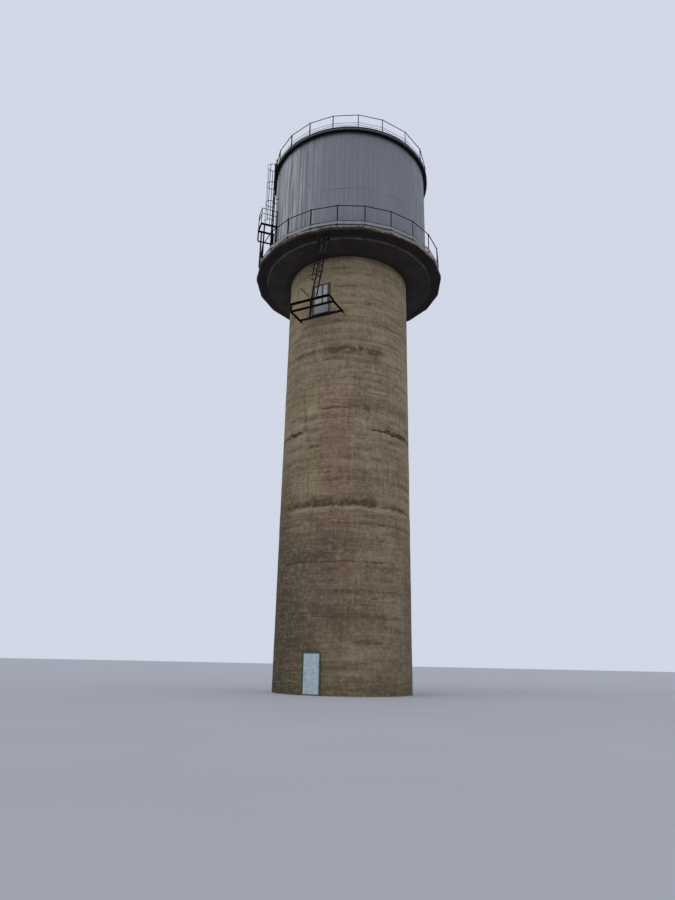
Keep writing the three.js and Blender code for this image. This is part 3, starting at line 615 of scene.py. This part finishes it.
def cut_boxes(obj, boxes):
    cutters = []
    for low, high in boxes:
        spans = list(zip(low, high))
        verts = [(x, y, z) for x in spans[0] for y in spans[1] for z in spans[2]]
        cutter = object_of("cutter", verts, BOX_FACES)
        cutters.append(cutter)
        modifier = obj.modifiers.new("cut", "BOOLEAN")
        modifier.operation = "DIFFERENCE"
        modifier.solver = "EXACT"
        modifier.object = cutter
    graph = bpy.context.evaluated_depsgraph_get()
    mesh = bpy.data.meshes.new_from_object(obj.evaluated_get(graph))
    obj.modifiers.clear()
    obj.data = mesh
    mesh.name = obj.name
    for cutter in cutters:
        bpy.data.objects.remove(cutter)


def angle_section(size, thick=0.006):
    s, t = size / 2, thick
    return [(-s, -s), (s, -s), (s, -s + t), (-s + t, -s + t), (-s + t, s), (-s, s)]


def channel_section(width, depth, thick=0.007):
    w, d, t = width / 2, depth / 2, thick
    lower = [(-w, -d), (w, -d), (w, -d + t), (-w + t, -d + t)]
    return [*lower, (-w + t, d - t), (w, d - t), (w, d), (-w, d)]


def flat_section(width, thick):
    w, t = width / 2, thick / 2
    return [(-w, -t), (w, -t), (w, t), (-w, t)]


def round_section(radius, sides):
    turns = [2 * math.pi * i / sides for i in range(sides)]
    return [(radius * math.cos(a), radius * math.sin(a)) for a in turns]


class Members:
    """Gathers steel members of any section into one mesh."""

    def __init__(self, matrix=None):
        self.matrix = matrix or Matrix.Identity(4)
        self.verts = []
        self.faces = []

    def add(self, section, start, end, up=(0, 0, 1), flip=False):
        start, end = Vector(start), Vector(end)
        along = (end - start).normalized()
        side = along.cross(Vector(up)).normalized()
        rise = side.cross(along)
        self.path(section, [(start, side, rise), (end, side, rise)], flip)

    def path(self, section, stations, flip=False):
        base, count = len(self.verts), len(section)
        for middle, side, rise in stations:
            for x, y in section:
                self.verts.append(self.matrix @ (middle + side * (-x if flip else x) + rise * y))
        self.faces += side_faces(len(stations), count, base)
        self.faces += end_faces(len(stations), count, base)

    def upright(self, section, x, y, low, high, flip=False):
        self.add(section, (x, y, low), (x, y, high), up=(0, 1, 0), flip=flip)

    def block(self, low, high):
        low, high = Vector(low), Vector(high)
        middle = (low + high) / 2
        size = high - low
        side, rise = Vector((1, 0, 0)), Vector((0, 1, 0))
        ends = [(Vector((middle.x, middle.y, height)), side, rise) for height in (low.z, high.z)]
        self.path(flat_section(size.x, size.y), ends)

    def finish(self, name, material, slot="steelwork", body="tower", replaces=()):
        """Makes one piece of all members gathered so far."""
        finish_piece(object_of(name, self.verts, self.faces), material, replaces, body)


# Shaft

def shaft_columns():
    step = 360 / BOARDS
    return [(i + part) * step - 180 for i in range(BOARDS) for part in BOARD_COLUMNS]


def shaft_rows():
    edges = [0.0, *JOINTS, SHAFT_TOP]
    rows = [0.0]
    for low, high in zip(edges, edges[1:]):
        rows += [low + 0.03, *np.linspace(low + 0.16, high - 0.16, 5), high - 0.03, high]
    return rows


def open_joint_depth(azimuth, height, sample):
    depth = 0.0
    for middle, half, first, last, strength in OPEN_JOINTS:
        if first <= azimuth <= last:
            near = 1 - min(1.0, abs(height - middle) / (half + 0.05))
            depth = max(depth, near * strength)
    return 0.045 * depth * max(0.0, min(1.0, 0.9 + 2.2 * sample))


def shaft_offset(column, azimuth, height, lifts):
    lift = sum(height > joint + 0.001 for joint in JOINTS)
    board, part = divmod(column, len(BOARD_COLUMNS))
    groove = 0.0
    if part == 0:
        groove = -0.005 * max(0.0, noise.noise(Vector((board * 0.9, height * 0.35, 7.0))) + 0.2)
    tone = noise.cell(Vector((board * 1.37, lift * 2.11, 0.5))) * 0.004 - 0.002
    at = plan(1.0, azimuth, height)
    wave = noise.noise(Vector((at.x * 2.2, at.y * 2.2, height * 0.5))) * 0.006
    rough = noise.noise(Vector((at.x * 17, at.y * 17, height * 5))) * 0.003
    near_joint = min(abs(height - joint) for joint in JOINTS)
    joint = -0.008 * max(0.0, 1 - near_joint / 0.025)
    sample = noise.noise(Vector((at.x * 9, at.y * 9, height * 2 + 4)))
    relief = lifts[lift] + groove + tone + wave + rough + joint
    return relief - open_joint_depth(azimuth, height, sample)


def add_shaft():
    columns, rows = shaft_columns(), shaft_rows()
    lifts = [RANDOM.uniform(-0.006, 0.0) for _ in range(len(JOINTS) + 1)]
    proud_lift = 7
    lifts[proud_lift] = 0.004
    rings = []
    for height in rows:
        ring = []
        for column, azimuth in enumerate(columns):
            radius = SHAFT_RADIUS - 0.006 + shaft_offset(column, azimuth, height, lifts)
            ring.append(plan(min(radius, SHAFT_RADIUS + 0.004), azimuth, height))
        rings.append(ring)
    inner_top = [plan(SHAFT_INNER, azimuth, SHAFT_TOP) for azimuth in columns]
    inner_low = [plan(SHAFT_INNER, azimuth, 0.0) for azimuth in columns]
    shaft = turned("shaft_shell", [*rings, inner_top, inner_low], 50, close_ends=False)
    cut_boxes(shaft, [ENTRANCE_OPENING, BALCONY_OPENING])
    walls = numbered("shaft_wall", 7)
    walls += ["shaft_front_left_wall", "shaft_front_right_wall", "shaft_wall_between_doors",
              "shaft_wall_over_balcony_door", "shaft_wall_beside_entrance"]
    finish_piece(shaft, CONCRETE, replaces=walls)


# Gallery slab

def slab_stretch(azimuth):
    """How far a straight formwork side lies inside the circle through its corners."""
    half = 180 / SLAB_SIDES
    turn = (azimuth - SLAB_PHASE) % (2 * half) - half
    return math.cos(math.radians(half)) / math.cos(math.radians(turn))


def add_slab():
    columns = [SLAB_PHASE + i * 0.75 for i in range(480)]
    # Radius and height, and how far a ring follows the straight formwork sides.
    profile = [(0.02, 23.4955, 0), (3.3, 23.4955, 0), (3.62, 23.5, 0.4)]
    profile += [(radius, height, 1) for radius, height in (
        (4.0, 23.524), (4.4, 23.551), (4.8, 23.578), (5.04, 23.594), (5.075, 23.6), (5.08, 23.612),
        (5.08, 23.68), (5.11, 23.692), (5.3, 23.692), (5.55, 23.692), (5.69, 23.693),
        (5.722, 23.706), (5.728, 23.74), (5.728, 23.79), (5.728, 23.84), (5.728, 23.89),
        (5.728, 23.94), (5.724, 23.985), (5.70, 24.006), (5.5, 24.009), (5.2, 24.009), (0.02, 24.009),
    )]
    rings = []
    for radius, height, straight in profile:
        ring = []
        edge = radius > 5.6
        underside = 3.7 < radius < 5.6 and height < 23.7
        for azimuth in columns:
            at = plan(radius * lerp(1.0, slab_stretch(azimuth), straight), azimuth, height)
            chip = noise.noise(Vector((at.x * 3.1, at.y * 3.1, height * 6)))
            fine = noise.noise(Vector((at.x * 11, at.y * 11, height * 14)))
            if edge:
                at *= 1 - (0.004 * max(0.0, chip - 0.1) + 0.0014 * (fine + 0.6))
                at.z = height
                if height <= 24.0:
                    at.z += 0.008 * fine
            elif underside:
                at.z = height + 0.004 * chip
            ring.append(at)
        rings.append(ring)
    slab = turned("gallery_slab", rings, 40)
    cut_boxes(slab, [HATCH_OPENING])
    finish_piece(slab, SLAB, replaces=[
        "gallery_slab_left", "gallery_slab_right", "gallery_slab_middle", "gallery_slab_hatch_edge",
    ])


# Railings

def railing(name, arcs, azimuths, radius, foot, top, post, rails):
    """Posts on foot plates, and rails given by height, section and how far inward they sit."""
    members = Members()
    corners = []
    plate, plate_height = flat_section(post * 2.0, 0.11), Vector((0, 0, 0.008))
    for azimuth in azimuths:
        nudge = RANDOM.uniform(-0.006, 0.006)
        lean = RANDOM.uniform(-0.012, 0.012)
        low = plan(radius, azimuth, foot)
        high = plan(radius - 0.004 + nudge / 2, azimuth + lean, top)
        out, side = plan(1.0, azimuth), plan(1.0, azimuth + 90)
        members.add(angle_section(post), low, high, up=out)
        members.path(plate, [(low, side, out), (low + plate_height, side, out)])
        corners.append(high)
    for start, end in pairs_round(corners):
        for height, section, inset in rails:
            drop = Vector((0, 0, height - top))
            pull = (end - start).normalized() * post * 0.5
            inward = -(start + end).normalized() * inset
            inward.z = 0
            sag = Vector((0, 0, RANDOM.uniform(-0.008, 0.0)))
            members.add(section, start + drop - pull + inward, end + drop + pull + inward + sag)
    members.finish(name, STEEL, replaces=numbered(name, arcs))


def add_toe_board(azimuths, radius, low, high):
    """Three short boards in each field, a little uneven in height."""
    members = Members()
    section = flat_section(0.006, high - low - 0.012)
    boards, gap = 3, 0.004
    for azimuth, following in pairs_round(azimuths):
        start, end = plan(radius, azimuth), plan(radius, following)
        for k in range(boards):
            a, b = lerp(start, end, k / boards + gap), lerp(start, end, (k + 1) / boards - gap)
            drop = RANDOM.uniform(0.0, 0.012)
            rise = Vector((0, 0, (low + high) / 2 - drop))
            members.add(section, a + rise, b + rise)
    members.finish("toe_board", BOARD)


def add_railings():
    gallery = [19 + i * 360 / GALLERY_POSTS for i in range(GALLERY_POSTS)]
    rails = [(25.375, angle_section(0.058), 0.0), (24.375, angle_section(0.055), -0.008),
             (24.13, angle_section(0.05), 0.0)]
    railing("gallery_railing", 5, gallery, GALLERY_RAIL_RADIUS, SLAB_TOP, 25.405, 0.058, rails)
    add_toe_board(gallery, GALLERY_RAIL_RADIUS + 0.027, 24.15, 24.33)
    corners = (-39, 48.3, 147.8, 234.4, 321)
    roof = [lerp(a, b, i / 5) for a, b in zip(corners, corners[1:]) for i in range(5)]
    thin = round_section(0.012, 6)
    rails = [(32.445, angle_section(0.05), 0.0), (31.68, thin, 0.01), (31.85, thin, 0.01)]
    railing("roof_railing", 4, roof, ROOF_RAIL_RADIUS, 31.454, 32.47, 0.05, rails)


# Tank

def add_tank():
    ribs, rib_depth = 108, 0.014
    pitch = 360 / ribs
    parts = ((0.0, 0.0), (0.4, 0.0), (0.58, -rib_depth), (0.82, -rib_depth))
    columns = [((i + part) * pitch, depth) for i in range(ribs) for part, depth in parts]
    foot, lap = 24.013, 27.2
    lower = (foot, 24.6, 25.2, 25.8, 26.4, 26.9, lap - 0.02, lap)
    upper = (lap + 0.001, 27.9, 28.6, 29.3, 30.0, 30.6, 31.1, TANK_TOP)
    rings = []
    for height in (*lower, *upper):
        proud = 0.004 if height in upper else 0
        ring = []
        for azimuth, depth in columns:
            sheet = math.floor(azimuth / (4 * pitch))
            lean = noise.cell(Vector((sheet * 1.7, 0.3 if height > lap else 5.3, 0.2))) * 0.006
            wave = noise.noise(Vector((azimuth * 0.045, height * 0.5, 2.0))) * 0.004
            radius = TANK_RADIUS - rib_depth + depth + proud + wave - lean * (height - 24) / 7
            ring.append(plan(radius, azimuth, height))
        rings.append(ring)
    for height in (TANK_TOP, foot):
        rings.append([plan(TANK_RADIUS - 0.075, azimuth, height) for azimuth, _ in columns])
    tank = turned("tank_cladding", rings, 25, close_ends=False)
    finish_piece(tank, CLADDING, replaces=numbered("tank_wall", 8))


def add_roof():
    seams, step = 24, 1.25
    columns = [i * step for i in range(int(360 / step))]
    slope = (ROOF_CROWN - ROOF_EDGE) / RIM

    def ring(radius, lift, seam=0.0):
        """Ring on the cone of the roof, lifted by lift, and by seam at the seams of the sheets."""
        points = []
        for azimuth in columns:
            ridge = abs((azimuth % (360 / seams)) - 180 / seams) < 0.1
            height = ROOF_CROWN - slope * radius + lift + (seam if ridge else 0.0)
            points.append(plan(radius, azimuth, height))
        return points

    middle, under, top, seam_height = 0.02, -0.024, -0.004, 0.018
    rings = [ring(r, under) for r in (middle, 2.0, 4.0, RIM - 0.004)]
    rings += [ring(RIM - 0.002, -0.012), ring(RIM - 0.004, -0.002)]
    rings += [ring(r, top, seam_height) for r in (4.8, 4.3, 3.6, 2.8, 2.0, 1.2, 0.5, 0.1)]
    rings.append(ring(middle, top))
    roof = turned("roof_sheets", rings, 20)
    finish_piece(roof, ROOF, replaces=["roof_deck"])

    profile = [(5.026, EAVES + 0.012), (5.026, EAVES), (5.043, EAVES), (5.043, EAVES + 0.05),
               (5.034, EAVES + 0.055), (5.034, EAVES + 0.1), (5.0445, EAVES + 0.105),
               (5.0445, ROOF_EDGE - 0.002), (5.026, ROOF_EDGE)]
    add_ring("roof_fascia_band", profile, "roof_fascia")
    # The soffit sheet takes the roof material's painted black shade.
    inner, outer, low, high = 4.851, 5.023, EAVES + 0.001, EAVES + 0.014
    soffit = [(inner, low), (outer, low), (outer, high), (inner, high)]
    add_ring("eaves_soffit_sheets", soffit, "eaves_soffit")


def add_ring(name, profile, node):
    """Slightly wavy sheet metal ring with the given outline of radius and height."""
    count = 288
    rings = []
    for radius, height in profile:
        ring = []
        for i in range(count):
            ripple = 0.0015 * noise.noise(Vector((i * 0.12, height * 3, 1.0)))
            ring.append(plan(radius - 0.001 + ripple, i * 360 / count, height))
        rings.append(ring)
    sheet = turned(name, rings, 30, close_ends=False)
    finish_piece(sheet, ROOF, replaces=[node])


# Ladders

def ladder(members, foot, head, reach, arms, width=0.4, depth=0.058):
    """Two channel stiles with rungs, held by arms given by their height and reach."""
    half = width / 2
    for x in (-half, half):
        section = channel_section(0.05, depth)
        members.upright(section, x, -reach, foot, head, x > 0)
        for height, arm_reach in arms:
            members.add(flat_section(0.05, 0.012), (x, -arm_reach, height), (x, -reach, height))
    height = foot + RUNG_PITCH
    while height < head - 0.05:
        members.add(round_section(0.013, 8), (-half, -reach, height), (half, -reach, height))
        height += RUNG_PITCH


def cage(members, heights, reach, wobble, width=0.4):
    """Hoops at the given heights, open toward the ladder, and five upright flats inside them."""
    end = width / 2 + 0.0303
    sweep = 180 - math.degrees(math.asin(end / HOOP_INNER))
    centre = Vector((0, -reach - math.sqrt(HOOP_INNER ** 2 - end ** 2), 0))
    count = 24
    for height in heights:
        tilt = RANDOM.uniform(-wobble, wobble)
        stations = []
        for i in range(count + 1):
            azimuth = lerp(-sweep, sweep, i / count)
            out = plan(1.0, azimuth)
            lift = Vector((0, 0, height + tilt * math.sin(math.radians(azimuth))))
            stations.append((centre + out * (HOOP_OUTER - 0.003) + lift, out, Vector((0, 0, 1))))
        members.path(flat_section(0.006, 0.05), stations)
    for i in (-4, -2, 0, 2, 4):
        azimuth = sweep * i / 5
        out, side = plan(1.0, azimuth), plan(1.0, azimuth + 90)
        low = centre + out * (HOOP_OUTER - 0.009) + Vector((0, 0, heights[0] - 0.025))
        high = low + Vector((0, 0, heights[-1] - heights[0] + 0.05))
        members.path(flat_section(0.04, 0.006), [(low, side, out), (high, side, out)])


def add_tank_ladder():
    reach, arm_end = 5.08, 4.815
    arms = [(height, arm_end) for height in (25.4, 28.8, 30.7)]
    members = Members(LADDER_TURN)
    ladder(members, SLAB_TOP, 31.85, reach, arms, depth=0.066)
    members.finish("tank_ladder_steps", STEEL, replaces=["tank_ladder"])
    hoops = Members(LADDER_TURN)
    cage(hoops, [27.1, 28.5, 29.9, 31.3], reach, wobble=0.02)
    hoops.finish("tank_ladder_hoops", RAIL, replaces=["tank_ladder_cage"])


def add_landing():
    side, inner, outer, beam_z, tie = 0.39, 4.905, 5.8425, 26.585, 25.86
    beam, post = channel_section(0.078, 0.108), angle_section(0.072, 0.008)
    leg = channel_section(0.074, 0.074, 0.008)
    members = Members(LADDER_TURN)
    members.add(beam, (-side, -outer, beam_z), (side, -outer, beam_z))
    members.add(post, (-side, -inner, tie), (-side, -outer, tie))
    members.upright(post, -side, -outer, tie, 26.6)
    for x in (-side, side):
        members.add(beam, (x, -4.85, beam_z), (x, -5.88, beam_z), flip=x > 0)
        for reach in (inner, 5.65):
            members.upright(leg, x, -reach, SLAB_TOP, beam_z, x > 0)
            low = (x - 0.05, -reach - 0.036, SLAB_TOP)
            members.block(low, (x + 0.05, -reach + 0.045, SLAB_TOP + 0.01))
    members.finish("landing_beams", STEEL, replaces=["landing_frame"])
    rails = Members(LADDER_TURN)
    section = angle_section(0.045, 0.005)
    foot, top = 26.64, 27.75
    for x in (-side, side):
        rails.upright(section, x, -outer, foot, top, x > 0)
    rails.upright(section, side, -inner, foot, top)
    for height in (27.3575, 27.7275):
        rails.add(section, (-side, -outer, height), (side, -outer, height))
        rails.add(section, (side, -outer, height), (side, -inner, height))
    rails.finish("landing_rails", STEEL, replaces=["landing_railing"])


def add_balcony():
    left, middle, corner, right = -1.18, 0.09, 1.18, 1.45
    level, outer, wall = 19.70, 4.79, 3.75
    beam = channel_section(0.063, 0.118)
    members = Members()
    for x in (left, right):
        members.add(beam, (x, -3.54, level), (x, -outer, level), flip=x > 0)
    for x in (left, right):
        anchor = math.sqrt(SHAFT_RADIUS ** 2 - x * x) - 0.01
        members.add(round_section(0.014, 8), (x, -anchor, level), (x, -3.56, level))
    members.add(beam, (left - 0.032, -outer, level), (right + 0.032, -outer, level))
    members.add(beam, (left, -wall, level), (right, -wall, level), flip=True)
    members.add(channel_section(0.088, 0.1), (-0.57, -wall, level), (middle, -outer, level))
    members.finish("balcony_beams", STEEL, replaces=["balcony_frame"])
    guard = Members()
    post = channel_section(0.108, 0.108, 0.009)
    foot, top = 19.76, 20.155
    guard.add(post, (left - 0.054, -outer, top), (corner, -outer, top))
    for x in (left, middle):
        guard.upright(post, x, -outer, foot, top)
    guard.add(post, (corner, -outer, top), (right - 0.01, -outer, 19.80))
    guard.finish("balcony_rails", STEEL, replaces=["balcony_guard"])


def wall_bar(name, material, points, thick, section=None):
    """Bar that follows the shaft's face through points of azimuth and height."""
    steps = 4
    spots = []
    for (az1, z1), (az2, z2) in zip(points, points[1:]):
        spots += [(lerp(az1, az2, k / steps), lerp(z1, z2, k / steps)) for k in range(steps)]
    spots.append(points[-1])
    middles = [plan(SHAFT_RADIUS + thick, azimuth, height) for azimuth, height in spots]
    stations = []
    for i, (azimuth, _) in enumerate(spots):
        along = middles[min(i + 1, len(spots) - 1)] - middles[max(i - 1, 0)]
        out = plan(1.0, azimuth)
        stations.append((middles[i], along.normalized().cross(out).normalized(), out))
    members = Members()
    members.path(section or round_section(thick, 8), stations)
    members.finish(name, material)


def add_wall_bars():
    """Stay beside the balcony door, the bent pale pipe at its head and the flat under its sill."""
    bends = [(-30.2, 21.5), (-30.4, 22.26), (-29.4, 22.32), (-25.4, 22.24)]
    wall_bar("wall_stay", STEEL, [(-25.1, 22.18), (-13.2, 21.33)], 0.018)
    wall_bar("wall_pipe", BOARD, bends, 0.016)
    sill = 19.913
    wall_bar("wall_sill_flat", STEEL, [(-9.0, sill), (16.3, sill)], 0.02, flat_section(0.1, 0.04))


def add_balcony_ladder():
    """Ladder that leans to the right, drawn upright and turned into place."""
    foot, head = Vector((0.31, -4.91, 20.07)), Vector((0.98, -4.91, 24.1))
    turn = Vector((0, 0, 1)).rotation_difference(head - foot)
    matrix = Matrix.Translation(foot) @ turn.to_matrix().to_4x4()
    width, reach = 0.3, 0.0
    arms = [(0.1, -0.074), (3.86, -0.11)]
    members = Members(matrix)
    ladder(members, 0.0, (head - foot).length, reach, arms, width=width)
    members.finish("balcony_ladder_steps", LADDER, replaces=["balcony_ladder"])
    hoops = Members(matrix)
    cage(hoops, [1.15, 1.8, 2.45, 3.1], reach, wobble=0.03, width=width)
    hoops.finish("balcony_ladder_hoops", STEEL, replaces=["balcony_ladder_cage"])


def add_hatch_lid():
    """Plate lid with stiffeners, standing open against the tank, and two hooks beside the hatch."""
    back, top = -4.86, 24.74
    members = Members(Matrix.Rotation(math.radians(9.7), 4, "Z"))
    members.block((-0.48, back - 0.008, SLAB_TOP), (0.37, back, top))
    for x in (-0.46, -0.05, 0.35):
        members.block((x - 0.02, back, SLAB_TOP), (x + 0.02, back + 0.012, top))
    members.finish("hatch_lid", STEEL)
    hooks = Members()
    for y in (-5.32, -5.02):
        near, far = y - 0.02, y + 0.02
        hooks.block((1.172, near, 23.5), (1.198, far, 24.0))
        hooks.block((1.10, near, 23.5), (1.174, far, 23.525))
        hooks.block((1.10, near, 23.52), (1.125, far, 23.6))
    hooks.finish("hatch_hooks", STEEL)


# Doors

def add_balcony_door():
    """Two panelled leaves, with a lower sheet, and a stile and jamb boards over them."""
    wear("balcony_door_frame", WORN_FRAME)
    leaves, lower, stile = Members(), Members(), Members()
    foot, head, face, back = 20.0305, 21.7994, -3.51, -3.4652
    left, right, sheet_top = -0.5244, 0.4544, 20.66
    edge, rail, thick = 0.06, 0.08, 0.012
    for low, high in ((left, 0.0698), (0.0702, right)):
        leaves.block((low, face + 0.008, foot), (high, back, head))
        for a, b in ((low, low + edge), (high - edge, high)):
            leaves.block((a, face, foot), (b, face + thick, head))
        for a, b in ((foot, foot + rail), (20.80, 20.88), (head - rail, head)):
            leaves.block((low + edge, face, a), (high - edge, face + thick, b))
    lower.block((-0.4195, face - thick, foot), (right, face + 0.001, sheet_top - 0.0005))
    for a, b, under in ((left, -0.42, foot), (0.03, 0.11, sheet_top), (0.39, right, sheet_top)):
        stile.block((a, face - thick, under), (b, face + 0.001, head))
    paint = "door_paint"
    stile.finish("balcony_door_stile", WORN_FRAME, paint)
    doors = ["balcony_door_left", "balcony_door_right"]
    leaves.finish("balcony_door_leaves", UPPER_DOOR, paint, replaces=doors)
    lower.finish("balcony_door_lower_sheet", DOOR_LOW, paint)


def add_entrance_details():
    """Beads round the two panels of the entrance door, which swing with its leaf."""
    wear("entrance_frame", FRAME)
    wear("entrance_door", DOOR)
    members = Members()
    left, right, bead = -0.2037, 0.4287, 0.025
    front, back = -3.566, -3.559
    for low, high in ((0.14, 0.86), (0.98, 1.74)):
        for a, b in ((left, left + bead), (right - bead, right)):
            members.block((a, front, low), (b, back, high))
        for a, b in ((low, low + bead), (high - bead, high)):
            members.block((left + bead, front, a), (right - bead, back, b))
    members.finish("entrance_door_beads", DOOR, "door_paint", body="entrance_leaf")


# Stage

def add_stage():
    half, level = 800, -0.004
    corners = [(-half, -half), (half, -half), (half, half), (-half, half)]
    floor = object_of("floor", [(x, y, level) for x, y in corners], [(0, 1, 2, 3)])
    g = Graph("pale_floor")
    tone = g.noise(0.15, 2.0)
    g.color = g.mix(tone, (176, 178, 180), (186, 188, 190))
    floor.data.materials.append(g.surface(0.9, specular=0.1))


def add_light():
    """Overcast sky, and a broad soft sun high in front."""
    world = bpy.data.worlds.new("studio")
    bpy.context.scene.world = world
    world.use_nodes = True
    background = world.node_tree.nodes["Background"]
    background.inputs[0].default_value = rgb(206, 211, 226)
    background.inputs[1].default_value = 1.05
    sun = bpy.data.lights.new("soft_sun", "SUN")
    sun.energy = 0.45
    sun.angle = math.radians(50)
    sun.color = (1.0, 0.98, 0.95)
    lamp = bpy.data.objects.new("soft_sun", sun)
    lamp.rotation_euler = (math.radians(42), 0, math.radians(-22))
    bpy.context.scene.collection.objects.link(lamp)
    bpy.context.scene.view_settings.view_transform = "Standard"


def add_camera():
    """The photo's camera: angles in radians, focal length and picture height in pixels."""
    azimuth, distance, height = 26.0, 34.5, 1.405
    pitch, roll, yaw = 0.3243, 0.0206, -0.0140
    focal, picture_height, sensor = 636.016, 900, 36.0
    turn = math.radians(azimuth)
    level = math.cos(pitch)
    forward = Vector((math.sin(yaw) * level, math.cos(yaw) * level, math.sin(pitch)))
    right = Vector((math.cos(yaw), -math.sin(yaw), 0))
    up = right.cross(forward)
    across = math.cos(roll) * right + math.sin(roll) * up
    rise = -math.sin(roll) * right + math.cos(roll) * up
    to_row = Matrix.Rotation(turn, 3, "Z")
    axes = [to_row @ axis for axis in (across, rise, -forward)]
    matrix = Matrix(axes).transposed().to_4x4()
    matrix.translation = to_row @ Vector((0, -distance, height))
    data = bpy.data.cameras.new("camera")
    data.sensor_fit = "VERTICAL"
    data.sensor_height = sensor
    data.lens = focal * sensor / picture_height
    data.clip_end = 2000
    camera = bpy.data.objects.new("camera", data)
    bpy.context.scene.collection.objects.link(camera)
    camera.matrix_world = matrix
    bpy.context.scene.camera = camera


add_camera()
add_stage()
add_light()
add_shaft()
add_slab()
add_railings()
add_tank()
add_roof()
add_tank_ladder()
add_landing()
add_balcony()
add_balcony_ladder()
add_wall_bars()
add_hatch_lid()
add_balcony_door()
add_entrance_details()
for node in ("ground_floor", "upper_floor"):
    wear(node, CONCRETE)
